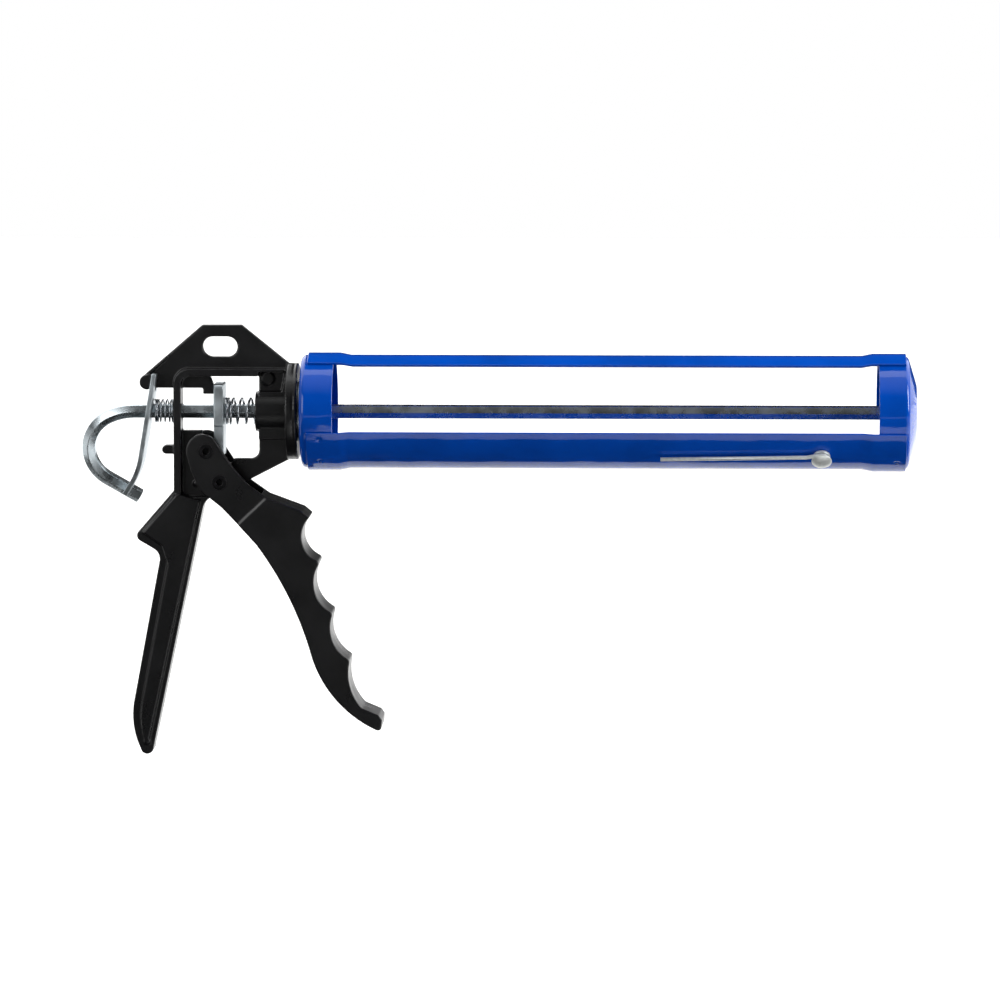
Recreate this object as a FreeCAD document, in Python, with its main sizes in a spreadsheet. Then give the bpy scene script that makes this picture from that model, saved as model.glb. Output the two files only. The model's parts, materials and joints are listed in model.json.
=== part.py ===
import FreeCAD, Part
import math
import os
import re
import Sketcher

# Caulking gun with a strap barrel that turns on its handle frame.
# Origin: centre of the nozzle hole, on the outer face of the front cap.
# +X runs forward along the push rod, +Z is up, and the left cheek of the trigger faces -Y.
# Pieces of the handle frame are drawn from the centre of its collar face, the "frame origin".

# Driving dimensions, in millimetres and degrees: name, value, meaning
SIZES = [
    ("barrel_length", 288.0, "outside length over both caps"),
    ("cap_bore", 25.4, "inside radius of both caps, for a 50 mm cartridge"),
    ("cap_wall", 1.1, "sheet thickness of the caps"),
    ("cap_edge", 2.4, "outside radius of a cap's bent edge"),
    ("rear_cap_depth", 15.5, "outside depth of the rear cap"),
    ("front_cap_depth", 17.9, "outside depth of the front cap"),
    ("end_flat", 13.6, "flat ring round the nozzle hole"),
    ("end_drop", 4.0, "how far the front cap's end wall falls back towards its edge"),
    ("nozzle_radius", 13.0, "round part of the keyhole for the nozzle"),
    ("nozzle_slot", 16.0, "width of the keyhole's slot, out to the rim"),
    ("strap_wall", 1.2, "sheet thickness of the straps"),
    ("strap_inner", 25.5, "inside radius of a strap between the caps"),
    ("strap_arc", 70.0, "angle that a strap covers"),
    ("strap_spread", 73.5, "angle from the middle of the narrow gap to the middle of a strap"),
    ("barrel_turn", 21.5, "how far the middle of the narrow gap is turned up from -Y"),
    ("strap_end", 3.2, "from the rear cap's outer face to a strap's end"),
    ("strap_lead", 5.0, "from the front cap's outer face to a strap's end"),
    ("joggle_start", 2.6, "from the rim of a cap to the start of a strap's bend"),
    ("joggle_run", 5.0, "length of a strap's bend towards the axis"),
    ("weld_radius", 3.2, "ball radius that forms a spot weld's dimple"),
    ("weld_depth", 0.45, "depth of a spot weld's dimple"),
    ("weld_place", 9.5, "from the outer face of a cap to its spot welds"),
    ("weld_angle", -28.0, "turn of a second weld at the rear, from a strap's middle line"),
    ("spigot_radius", 9.5, "hollow spigot that carries the rear cap"),
    ("swivel_play", 0.06, "radial clearance between the spigot and the rear cap"),
    ("swivel_gap", 1.4, "thickness of the bearing washer behind the rear cap"),
    ("swivel_float", 0.08, "axial play of the barrel"),
    ("keeper_wall", 1.2, "thickness of the retaining washer and of its ring"),
    ("keeper_radius", 14.0, "outside radius of the retaining washer"),
    ("ring_groove", 0.9, "depth of the retaining ring's groove"),
    ("ring_width", 2.6, "radial width of the retaining ring"),
    ("rod_flats", 6.1, "push rod, across its flats"),
    ("rod_twist", 53.0, "angle that the rod's flats are rolled about its axis"),
    ("rod_play", 0.38, "clearance round the rod's corners in its guides"),
    ("rod_shoulder", 12.0, "from the origin back to the shoulder behind the pusher"),
    ("stud_radius", 2.5, "turned front end of the push rod"),
    ("stud_length", 7.8, "length of the turned front end"),
    ("hook_start", 77.2, "from the frame origin back to the rod's first bend"),
    ("hook_lead_radius", 28.5, "first, gentle bend of the hook"),
    ("hook_lead_turn", 25.0, "turn of the gentle bend"),
    ("hook_radius", 17.6, "main bend of the hook"),
    ("hook_turn", 123.5, "turn of the main bend"),
    ("hook_tail", 17.6, "straight end of the hook"),
    ("hook_roll", 15.0, "how far the hook leans towards +Y"),
    ("pusher_radius", 23.6, "radius of the pusher plate"),
    ("pusher_wall", 1.5, "thickness of the pusher plate"),
    ("pusher_dish", 2.6, "how far the pusher's rim stands back"),
    ("pusher_flat", 12.0, "radius of the pusher's flat middle"),
    ("backing_radius", 8.0, "radius of the washer behind the pusher"),
    ("backing_wall", 1.4, "thickness of the washer behind the pusher"),
    ("nut_flats", 8.0, "pusher nut across its flats"),
    ("nut_height", 3.2, "height of the pusher nut"),
    ("web", 5.0, "thickness of the frame's web"),
    ("rim_width", 16.0, "width of the rims round the frame's window"),
    ("block_width", 12.0, "width of the frame between window and collar"),
    ("handle_width", 19.0, "width of the fixed handle"),
    ("handle_core", 14.4, "thickness of the handle along its edges"),
    ("rib_width", 8.0, "width of the rib behind the catch boss"),
    ("mark_step", 0.8, "height of the casting's round marks"),
    ("mark_radius", 3.1, "radius of the upper round mark"),
    ("small_mark_radius", 1.3, "radius of the lower round mark"),
    ("boss_radius", 9.4, "spring boss on the rod's axis"),
    ("boss_back", 20.2, "from the frame origin back to the boss's rear face"),
    ("seat_radius", 7.0, "counterbore that seats the drive spring"),
    ("seat_depth", 4.0, "depth of the counterbore"),
    ("collar_radius", 22.7, "collar behind the rear cap"),
    ("collar_wall", 1.3, "thickness of the collar's front disc"),
    ("collar_groove", 0.9, "width and depth of the groove behind the front disc"),
    ("collar_back", 5.2, "from the frame origin back to the collar's rear face"),
    ("hang_x", -36.8, "middle of the hanging slot"),
    ("hang_z", 30.5, "height of the hanging slot"),
    ("hang_length", 16.3, "length of the hanging slot, end to end"),
    ("hang_height", 9.5, "height of the hanging slot's opening"),
    ("nose_x", -71.1, "middle of the catch boss"),
    ("nose_z", 13.9, "height of the catch boss"),
    ("nose_radius", 3.5, "radius of the catch boss"),
    ("nose_width", 11.0, "width of the catch boss"),
    ("flange_back", 58.5, "from the frame origin back to the rear face of the upright rim"),
    ("flange_wall", 3.5, "thickness of the upright rim"),
    ("peg_z", -18.0, "height of the stop peg's middle"),
    ("peg_length", 5.9, "how far the stop peg stands out, to its tip"),
    ("peg_half", 2.1, "half the height of the stop peg"),
    ("peg_width", 6.0, "width of the stop peg"),
    ("pivot_x", -36.6, "trigger pivot"),
    ("pivot_z", -32.4, "height of the trigger pivot"),
    ("drive_x", -42.9, "drive pin, at rest"),
    ("drive_z", -17.9, "height of the drive pin, at rest"),
    ("pin_radius", 2.2, "shank radius of both trigger pins"),
    ("pin_play", 0.05, "radial clearance of the pivot pin in the frame"),
    ("pin_head", 3.5, "head radius of both trigger pins"),
    ("pin_head_height", 0.9, "height of the trigger pins' heads"),
    ("pin_hollow", 1.6, "radius of the hollow in a pin's ends"),
    ("spacer_radius", 3.2, "drive spacer, which pushes the drive plate"),
    ("drive_play", 0.2, "gap between the drive spacer and the drive plate at rest"),
    ("cheek_gap", 19.6, "distance between the trigger's cheeks"),
    ("cheek_wall", 3.4, "thickness of a cheek at the pins"),
    ("grip_wall", 3.9, "thickness of a cheek at the grip"),
    ("finger_round", 1.6, "rounding of the ridges between the fingers"),
    ("cheek_play", 0.3, "side clearance between cheeks and frame"),
    ("plate_wall", 4.6, "thickness of the drive plate"),
    ("plate_width", 19.0, "width of the drive plate's upper part"),
    ("plate_top", 13.4, "height of the drive plate's top"),
    ("plate_waist", -6.4, "height where the drive plate steps in"),
    ("plate_foot", -20.6, "height of the drive plate's lower end"),
    ("tongue_width", 17.0, "width of the drive plate's tongue"),
    ("plate_round", 2.5, "rounding of the drive plate's upper corners"),
    ("drive_coil", 6.5, "outside radius of the drive spring"),
    ("drive_wire", 1.2, "wire diameter of the drive spring"),
    ("drive_pitch", 3.4, "pitch of the drive spring"),
    ("catch_wall", 2.2, "thickness of the release plate"),
    ("catch_width", 22.0, "width of the release plate"),
    ("catch_tilt", 9.4, "lean of the release plate while it grips the rod"),
    ("catch_x", -68.9, "fulcrum of the release plate"),
    ("catch_z", 14.8, "height of the fulcrum"),
    ("catch_top", 3.4, "from the fulcrum up to the plate's top"),
    ("catch_play", 0.38, "clearance round the rod's corners in the release plate"),
    ("catch_slot_play", 0.4, "side clearance of the plate's slot over the nose"),
    ("catch_slot_foot", 4.9, "from the fulcrum down to the slot's end"),
    ("catch_straight", 35.7, "from the fulcrum down to the plate's bend"),
    ("catch_bend", 36.0, "radius of the plate's bend"),
    ("catch_turn", 23.0, "turn of the plate's bend"),
    ("catch_tail", 5.8, "straight end below the bend"),
    ("catch_tip_width", 10.0, "width of the release plate's tip"),
    ("catch_coil", 5.65, "outside radius of the release spring"),
    ("catch_wire", 0.8, "wire diameter of the release spring"),
    ("catch_pitch", 1.9, "pitch of the release spring"),
    ("spring_play", 0.12, "gap at each end of a spring"),
    ("rivet_x", -44.5, "piercing wire's rivet"),
    ("rivet_skew", 8.3, "how far the rivet is off the strap's middle line"),
    ("rivet_radius", 1.9, "shank radius of the rivet"),
    ("rivet_head", 4.7, "head radius of the rivet"),
    ("rivet_head_height", 1.7, "height of the rivet's domed head"),
    ("rivet_foot", 3.3, "radius of the rivet's flattened end inside the strap"),
    ("rivet_foot_height", 0.5, "height of the rivet's flattened end"),
    ("lift_washer", 1.3, "thickness of the washer under the wire's loop"),
    ("lift_washer_radius", 4.0, "radius of the washer under the wire's loop"),
    ("wire", 1.8, "diameter of the piercing wire"),
    ("wire_play", 0.12, "clearance round the wire's loop"),
    ("wire_length", 75.0, "from the rivet to the wire's point"),
    ("wire_lean", 1.3, "angle between the wire's leg and the barrel's axis"),
    ("wire_side", 1.45, "distance from the rivet's axis to the wire's leg, sideways"),
    ("knee_radius", 6.0, "bend between the wire's leg and its neck"),
    ("knee_turn", 12.0, "turn of that bend"),
    ("loop_turn", 270.0, "turn of the wire's loop"),
]

# Sizes worked out in the sheet from the driving ones: name, formula, meaning
DERIVED = [
    ("cap_outer", "cap_bore + cap_wall", "outside radius of the caps"),
    ("strap_seat", "cap_outer + strap_wall", "outside radius of the straps over the caps"),
    ("strap_outer", "strap_inner + strap_wall", "outside radius of the straps between the caps"),
    ("rear_face", "-barrel_length", "rear face of the rear cap"),
    ("rear_rim", "rear_face + rear_cap_depth", "front rim of the rear cap"),
    ("front_rim", "-front_cap_depth", "rear rim of the front cap"),
    ("strap_rear", "rear_face + strap_end", "rear end of a strap"),
    ("strap_front", "-strap_lead", "front end of a strap"),
    ("end_edge", "-end_drop", "where the front cap's end wall meets its skirt"),
    ("end_slope", "end_drop / (cap_outer - end_flat)", "fall of the end wall"),
    ("end_inner", "-(cap_bore - end_flat) * end_slope - cap_wall * sqrt(1 + end_slope * end_slope)",
     "where the end wall meets the skirt, inside"),
    ("rear_joggle", "rear_rim + joggle_start", "start of the rear bend"),
    ("rear_joggle_end", "rear_joggle + joggle_run", "end of the rear bend"),
    ("front_joggle", "front_rim - joggle_start", "start of the front bend"),
    ("front_joggle_end", "front_joggle - joggle_run", "end of the front bend"),
    ("upper_roll", "90 - barrel_turn - strap_spread", "turn of the upper strap about X"),
    ("lower_roll", "90 - barrel_turn + strap_spread - rivet_skew", "turn of the lower strap's rivet"),
    ("weld_ball", "strap_seat + weld_radius - weld_depth", "radius of the dimples' ball centres"),
    ("rear_weld", "rear_face + weld_place", "place of the rear spot welds"),
    ("front_weld", "-weld_place", "place of the front spot weld"),
    ("frame_x", "rear_face - swivel_gap - swivel_float", "place of the frame origin"),
    ("cap_hole", "spigot_radius + swivel_play", "hole in the rear cap"),
    ("keeper_back", "swivel_gap + cap_wall + 2 * swivel_float", "rear of the retaining washer"),
    ("ring_back", "keeper_back + keeper_wall", "rear of the retaining ring"),
    ("spigot_end", "ring_back + 2 * keeper_wall", "front end of the spigot"),
    ("ring_seat", "spigot_radius - ring_groove", "bottom radius of the ring's groove"),
    ("ring_outer", "ring_seat + ring_width", "outside radius of the retaining ring"),
    ("rod_corner", "rod_flats / 2 / cos(30 deg)", "radius over the rod's corners"),
    ("rod_bore", "rod_corner + rod_play", "radius of the rod's guides"),
    ("rod_front", "-rod_shoulder", "place of the rod's shoulder"),
    ("rod_straight", "rod_front - frame_x + hook_start", "length of the rod behind the shoulder"),
    ("pusher_front", "backing_wall + pusher_wall", "front of the pusher's flat, from the shoulder"),
    ("nut_corner", "nut_flats / 2 / cos(30 deg)", "radius over the nut's corners"),
    ("boss_face", "-boss_back", "rear face of the spring boss"),
    ("seat_face", "seat_depth - boss_back", "bottom of the spring's counterbore"),
    ("collar_disc", "-collar_wall", "rear of the collar's front disc"),
    ("collar_step", "collar_disc - collar_groove", "rear of the collar's groove"),
    ("collar_neck", "collar_radius - collar_groove", "radius at the bottom of the groove"),
    ("collar_face", "-collar_back", "rear face of the collar"),
    ("hang_half", "hang_height / 2", "end radius of the hanging slot"),
    ("hang_run", "(hang_length - hang_height) / 2", "half the slot's straight length"),
    ("flange_rear", "-flange_back", "rear face of the upright rim"),
    ("flange_front", "flange_wall - flange_back", "front face of the upright rim"),
    ("peg_tip", "flange_rear - peg_length", "tip of the stop peg"),
    ("peg_round", "peg_tip + peg_half", "centre of the stop peg's round end"),
    ("peg_high", "peg_z + peg_half", "top of the stop peg"),
    ("peg_low", "peg_z - peg_half", "bottom of the stop peg"),
    ("peg_root", "flange_rear + flange_wall / 2", "where the stop peg ends inside the rim"),
    ("fork_width", "cheek_gap + 2 * cheek_wall", "outside width of the trigger at its pins"),
    ("grip_width", "cheek_gap + 2 * grip_wall", "outside width of the trigger's grip"),
    ("hub_width", "cheek_gap - 2 * cheek_play", "width of the frame's pivot hub"),
    ("hub_radius", "pin_radius + 4", "radius of the frame's pivot hub"),
    ("hub_bore", "pin_radius + pin_play", "pivot hole in the frame"),
    ("pin_reach", "fork_width / 2", "from the middle plane to the underside of a pin's head"),
    ("pin_end", "pin_reach + pin_head_height", "from the middle plane to a pin's end"),
    ("pin_well", "pin_end - 3", "bottom of the hollow in a pin's end"),
    ("spacer_half", "cheek_gap / 2", "half the drive spacer's length"),
    ("plate_rear", "drive_x + spacer_radius + drive_play", "rear face of the drive plate"),
    ("plate_front", "plate_rear + plate_wall", "front face of the drive plate"),
    ("plate_half", "plate_width / 2", "half the drive plate's width"),
    ("tongue_half", "tongue_width / 2", "half the tongue's width"),
    ("drive_mean", "drive_coil - drive_wire / 2", "mean radius of the drive spring"),
    ("drive_first", "plate_front + spring_play + drive_wire / 2", "first coil of the drive spring"),
    ("drive_height", "seat_face - spring_play - drive_wire / 2 - drive_first", "drive spring's length"),
    ("catch_hole", "rod_corner + catch_play", "radius of the release plate's rod hole"),
    ("catch_slot_half", "web / 2 + catch_slot_play", "half the release plate's slot"),
    ("catch_half", "catch_width / 2", "half the release plate's width"),
    ("catch_tip_half", "catch_tip_width / 2", "half the width of its tip"),
    ("catch_bore_z", "-catch_z / cos(catch_tilt * 1 deg) + catch_wall / 2 * tan(catch_tilt * 1 deg)",
     "rod hole below the fulcrum, along the plate"),
    ("catch_coil_mean", "catch_coil - catch_wire / 2", "mean radius of the release spring"),
    ("catch_face", "catch_x + catch_wall / cos(catch_tilt * 1 deg) - (catch_z - catch_coil)"
     " * tan(catch_tilt * 1 deg)", "front of the release plate above the rod, at the spring's edge"),
    ("catch_first", "catch_face + spring_play + catch_wire / 2", "first coil of the release spring"),
    ("catch_height", "flange_rear - spring_play - catch_wire / 2 - catch_first", "its length"),
    ("loop_inner", "rivet_radius + wire_play", "inside radius of the wire's loop"),
    ("loop_mean", "loop_inner + wire / 2", "mean radius of the wire's loop"),
    ("loop_level", "strap_outer + lift_washer + wire_play + wire / 2", "radius at the wire's axis"),
    ("head_level", "loop_level + wire / 2 + wire_play", "underside of the rivet's head"),
    ("foot_top", "sqrt(strap_inner * strap_inner - rivet_foot * rivet_foot) - swivel_play",
     "where the rivet's flattened end meets the curved strap"),
    ("foot_level", "foot_top - rivet_foot_height", "inner face of the rivet's flattened end"),
    ("mark_width", "web + 2 * mark_step", "thickness of the web at the round marks"),
    ("wire_half", "wire / 2", "radius of the piercing wire"),
    ("knee_x", "((wire_side + knee_radius * (1 - cos(knee_turn * 1 deg))) * cos(knee_turn * 1 deg)"
     " - loop_mean) / sin(knee_turn * 1 deg) - knee_radius * sin(knee_turn * 1 deg)",
     "end of the wire's leg, from the rivet"),
    ("wire_leg", "wire_length + knee_x", "length of the wire's straight leg"),
    ("wire_neck", "(-(loop_mean + knee_radius) * sin(knee_turn * 1 deg) - knee_x) * cos(knee_turn * 1 deg)"
     " + (loop_mean * cos(knee_turn * 1 deg) - wire_side - knee_radius * (1 - cos(knee_turn * 1 deg)))"
     " * sin(knee_turn * 1 deg)", "from the wire's bend to its loop"),
    ("pusher_rim_front", "pusher_front - pusher_dish", "front of the pusher's rim, from the shoulder"),
    ("pusher_rim_back", "backing_wall - pusher_dish", "rear of the pusher's rim, from the shoulder"),
    ("nut_front", "pusher_front + nut_height", "front of the pusher nut, from the shoulder"),
    ("catch_tip_z", "-catch_straight - catch_bend * sin(catch_turn * 1 deg) - catch_tail"
     " * cos(catch_turn * 1 deg)", "lower end of the release plate, from the fulcrum"),
    ("catch_end_z", "catch_tip_z - catch_wall", "just below the release plate"),
    ("catch_waist_z", "-catch_straight", "where the release plate begins to narrow"),
    ("catch_side", "catch_half + 1", "just beside the release plate"),
    ("slot_top", "catch_top + 1", "just above the release plate"),
    ("slot_foot", "-catch_slot_foot", "end of the release plate's slot"),
    ("bend_mid_x", "catch_bend * (cos(catch_turn / 2 * 1 deg) - 1)", "middle of the plate's bend"),
    ("bend_mid_z", "catch_waist_z - catch_bend * sin(catch_turn / 2 * 1 deg)", "its height"),
    ("bend_end_x", "catch_bend * (cos(catch_turn * 1 deg) - 1)", "end of the plate's bend"),
    ("bend_end_z", "catch_waist_z - catch_bend * sin(catch_turn * 1 deg)", "its height"),
    ("outer_mid_x", "bend_mid_x + catch_wall * cos(catch_turn / 2 * 1 deg)", "same, front face"),
    ("outer_mid_z", "bend_mid_z - catch_wall * sin(catch_turn / 2 * 1 deg)", "its height"),
    ("outer_end_x", "bend_end_x + catch_wall * cos(catch_turn * 1 deg)", "same, front face"),
    ("outer_end_z", "bend_end_z - catch_wall * sin(catch_turn * 1 deg)", "its height"),
    ("tail_rear_x", "bend_end_x - catch_tail * sin(catch_turn * 1 deg)", "tip of the rear face"),
    ("tail_rear_z", "bend_end_z - catch_tail * cos(catch_turn * 1 deg)", "its height"),
    ("tail_front_x", "outer_end_x - catch_tail * sin(catch_turn * 1 deg)", "tip of the front face"),
    ("tail_front_z", "outer_end_z - catch_tail * cos(catch_turn * 1 deg)", "its height"),
    ("slot_rear", "hang_x - hang_run", "rear end of the hanging slot's straight sides"),
    ("slot_front", "hang_x + hang_run", "front end of the hanging slot's straight sides"),
    ("slot_rear_end", "slot_rear - hang_half", "rear end of the hanging slot"),
    ("slot_front_end", "slot_front + hang_half", "front end of the hanging slot"),
    ("slot_high", "hang_z + hang_half", "top of the hanging slot"),
    ("slot_low", "hang_z - hang_half", "bottom of the hanging slot"),
    ("pivot_place", "frame_x + pivot_x", "trigger pivot, from the origin"),
    ("drive_place", "frame_x + drive_x", "drive pin, from the origin"),
    ("catch_place", "frame_x + catch_x", "fulcrum of the release plate, from the origin"),
    ("drive_wire_half", "drive_wire / 2", "wire radius of the drive spring"),
    ("catch_wire_half", "catch_wire / 2", "wire radius of the release spring"),
    ("rear_wall", "rear_face + cap_wall", "inner face of the rear cap's end wall"),
    ("front_wall", "-cap_wall", "inner face of the front cap's end wall"),
    ("loading_roll", "-barrel_turn", "turn of the caps about X, so the slot meets the wide gap"),
    ("slot_half", "nozzle_slot / 2", "half the nozzle slot"),
    ("slot_reach", "strap_seat + cap_wall", "how far the slot's cut reaches out"),
    ("ring_front", "ring_back + keeper_wall", "front of the retaining ring"),
    ("ring_gap", "ring_seat * 0.7", "half the opening of the retaining ring"),
    ("head_rise", "head_level + rivet_head_height", "top of the rivet's dome"),
    ("head_edge", "head_level + 0.3", "top of the rivet head's edge"),
    ("dome_rise", "head_rise - head_edge", "height of the dome over the head's edge"),
    ("dome_ball", "(rivet_head * rivet_head + dome_rise * dome_rise) / (2 * dome_rise)",
     "ball radius of the dome"),
    ("dome_radius", "rivet_head / 2", "where the dome's middle point lies"),
    ("dome_level", "head_rise - dome_ball + sqrt(dome_ball * dome_ball - dome_radius * dome_radius)",
     "height of the dome's middle point"),
    ("washer_level", "strap_outer + lift_washer", "top of the lift washer"),
]

# Named corners of the castings, measured from the frame origin: name, x, z
CORNERS = [
    ("nose_under", -68.6, 11.0), ("nose_heel", -58.5, 11.0), ("nose_back", -74.0, 15.9),
    ("hang_rear", -45.2, 40.7), ("hang_front", -26.8, 40.7), ("collar_high", -4.9, 23.0),
    ("collar_low", -4.9, -22.7), ("arm_heel", -22.3, -31.7), ("arm_foot", -29.5, -37.5),
    ("crotch_high", -40.0, -39.8), ("crotch_mid", -43.4, -42.0), ("crotch_low", -44.9, -45.4),
    ("front_foot", -68.7, -158.6), ("handle_tip", -71.6, -161.8), ("back_foot", -74.8, -159.2),
    ("swell", -78.4, -144.5), ("back_low", -77.5, -135.0), ("back_high", -65.5, -70.5),
    ("horn_arc", -65.7, -67.3), ("horn_root", -67.4, -64.9), ("horn_low", -74.2, -60.9),
    ("horn_tip", -76.0, -58.4), ("horn_high", -75.3, -56.3), ("flange_foot", -58.5, -36.9),
    ("window_high", -18.6, 16.9), ("window_turn", -18.6, -18.1), ("window_round", -19.8, -20.9),
    ("window_low", -22.6, -22.1), ("window_foot", -30.4, -22.1),
    ("bay_front", -31.6, -24.4), ("bay_rear", -48.6, -24.4), ("bay_top", -49.6, -14.5),
    ("sill_front", -45.4, -12.6), ("sill_edge", -45.4, -8.9), ("sill_rear", -55.0, -8.9),
    ("web_rear", -55.0, 11.0), ("web_front", -44.9, 11.0), ("lug_rear", -44.9, 8.2),
    ("lug_front", -40.0, 8.2), ("lug_high", -40.0, 12.6), ("lug_root", -41.7, 16.9),
    ("rim_low", -58.5, 13.3), ("rim_bend", -56.4, 18.2), ("rim_high", -51.5, 20.3),
    ("rim_front", -5.6, 20.3), ("rim_inner_front", -5.6, 19.0), ("rim_inner_high", -51.5, 16.9),
    ("rim_inner_bend", -54.0, 15.7), ("rim_inner_low", -55.0, 13.2), ("rim_foot_front", -55.0, -40.3),
    ("rim_foot_tip", -56.75, -42.1), ("rim_foot_rear", -58.5, -40.3),
    ("recess_high", -6.1, 19.0), ("recess_low", -7.8, 9.6), ("recess_rear", -18.6, 9.6),
    ("recess_top", -18.6, 19.0), ("block_high", -3.5, 19.0), ("block_foot", -4.9, -12.9),
    ("block_low", -18.6, -12.9),
    ("mark_high", -14.5, 15.6), ("mark_low", -48.3, -33.9),
    ("rib_low", -73.8, 16.1), ("rib_high", -61.6, 26.6), ("rib_inner_high", -61.6, 25.0),
    ("rib_inner_low", -72.9, 15.3), ("relief_top", -69.35, 20.0), ("relief_mid", -69.35, 14.8),
    ("relief_low", -70.97, 5.0), ("relief_front", -60.0, 5.0), ("relief_back", -60.0, 20.0),
    ("handle_top", -51.5, -40.0),
    ("inner_shoulder", -57.3, -38.6), ("inner_horn", -73.2, -56.6), ("inner_root", -64.2, -62.6),
    ("inner_high", -61.4, -71.2), ("inner_back", -73.4, -134.6), ("inner_swell", -74.4, -144.5),
    ("inner_back_foot", -73.0, -155.0), ("inner_foot", -71.7, -157.0),
    ("inner_front_foot", -70.7, -154.6), ("inner_front", -47.2, -46.0), ("inner_top", -46.0, -41.6),
    ("cheek_rear", -51.9, -20.0), ("cheek_crown", -45.2, -9.9), ("cheek_front", -38.2, -13.4),
    ("fork_front", -31.3, -24.0), ("fork_low", -23.3, -33.5), ("grip_step", -14.5, -39.7),
    ("grip_high", 2.0, -45.8), ("finger_one", 5.6, -48.9), ("hollow_one", 1.9, -57.1),
    ("finger_two", 10.7, -69.8), ("hollow_two", 7.5, -79.6), ("finger_three", 16.6, -94.1),
    ("hollow_three", 15.3, -102.2), ("finger_four", 24.5, -116.2), ("hollow_four", 24.1, -126.6),
    ("toe_root", 30.4, -139.0), ("toe_high", 38.0, -142.2), ("toe_front", 39.5, -144.4),
    ("toe_under", 39.3, -147.6), ("toe_round", 38.7, -149.0),
    ("toe_low", 37.3, -149.5), ("back_sole", 22.8, -140.1),
    ("back_three", 5.4, -111.1), ("back_two", -4.2, -86.7), ("back_one", -19.4, -61.8),
    ("back_step", -27.9, -52.5), ("fork_back", -35.6, -44.4), ("fork_heel", -41.2, -39.9),
    ("fork_round", -44.6, -37.9), ("fork_rear", -46.2, -35.4), ("cheek_slope", -50.0, -27.0),
    ("wall_high", -17.0, -29.5), ("wall_top", -17.0, -41.4), ("wall_one", 2.3, -49.5),
    ("wall_two", -1.0, -56.9), ("wall_three", 6.6, -70.9), ("wall_four", 4.5, -79.6),
    ("wall_five", 12.7, -95.4), ("wall_six", 12.5, -102.4), ("wall_seven", 20.6, -117.4),
    ("wall_eight", 21.1, -127.4), ("wall_nine", 28.4, -140.1), ("wall_ten", 34.0, -142.1),
    ("wall_end", 33.0, -149.5), ("wall_out", 10.0, -150.0), ("wall_far", -60.0, -60.0),
    ("wall_back", -60.0, 0.0), ("wall_front", -17.4, 0.0),
]

NAMES = {name for name, *_ in SIZES + DERIVED}
NAMES |= {name + end for name, *_ in CORNERS for end in ("_x", "_z")}
WORD = re.compile(r"[a-z_]+")

doc = FreeCAD.newDocument("CaulkingGun")
sheet = doc.addObject("Spreadsheet::Sheet", "Sizes")


def fill_sheet():
    """Write every driving size, corner and worked-out size into the sheet, each with its alias."""
    rows = [(name, str(value), meaning) for name, value, meaning in SIZES]
    for name, x, z in CORNERS:
        rows.append((name + "_x", str(x), "corner, along X from the frame origin"))
        rows.append((name + "_z", str(z), "corner, height"))
    rows += [(name, "=" + formula, meaning) for name, formula, meaning in DERIVED]
    for row, (name, content, meaning) in enumerate(rows, start=1):
        sheet.set("A%d" % row, name)
        sheet.set("B%d" % row, content)
        sheet.set("C%d" % row, meaning)
        sheet.setAlias("B%d" % row, name)
    doc.recompute()


def size(token):
    """Number for a sheet name, for a name with a minus sign, or for a plain number."""
    if not isinstance(token, str):
        return float(token)
    if token.startswith("-"):
        return -float(sheet.get(token[1:]))
    return float(sheet.get(token))


def bound(token):
    """Expression that ties a property to the sheet."""
    return WORD.sub(lambda m: "Sizes." + m.group() if m.group() in NAMES else m.group(), str(token))


def point(token):
    """A corner's name gives its two sheet names; a pair is kept as it is."""
    return (token + "_x", token + "_z") if isinstance(token, str) else token


def new_body(label, x=None, z=0, rotation=None):
    """Body with its own label, at a place given by sheet names."""
    body = doc.addObject("PartDesign::Body", label)
    body.Label = label
    place(body, x, z, rotation)
    return body


def place(piece, x=None, z=0, rotation=None):
    """Put a piece at x (from the origin) and z; the frame's own pieces pass x=\"frame_x\"."""
    base = FreeCAD.Vector(size(x) if x else 0, 0, size(z))
    piece.Placement = FreeCAD.Placement(base, rotation or FreeCAD.Rotation())


def new_sketch(body, name, role="XZ_Plane", shift=None, skew=None):
    """Sketch on one of the body's origin planes, shifted along its normal or skewed about X."""
    sketch = body.newObject("Sketcher::SketchObject", name)
    plane = [item for item in body.Origin.OriginFeatures if item.Role == role][0]
    sketch.AttachmentSupport = [(plane, "")]
    sketch.MapMode = "FlatFace"
    if shift is not None:
        sketch.setExpression("AttachmentOffset.Base.z", bound(shift))
    if skew is not None:
        turn = FreeCAD.Rotation(FreeCAD.Vector(1, 0, 0), size(skew))
        sketch.AttachmentOffset = FreeCAD.Placement(FreeCAD.Vector(), turn)
    return sketch


def pin_point(sketch, geometry, end, token):
    """Fix one point of a sketch at a pair of sheet names."""
    for kind, name in zip(("DistanceX", "DistanceY"), point(token)):
        index = sketch.addConstraint(Sketcher.Constraint(kind, -1, 1, geometry, end, size(name)))
        sketch.setExpression("Constraints[%d]" % index, bound(name))


def vector(token):
    """Sketch position of a corner."""
    x, z = point(token)
    return FreeCAD.Vector(size(x), size(z), 0)


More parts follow.
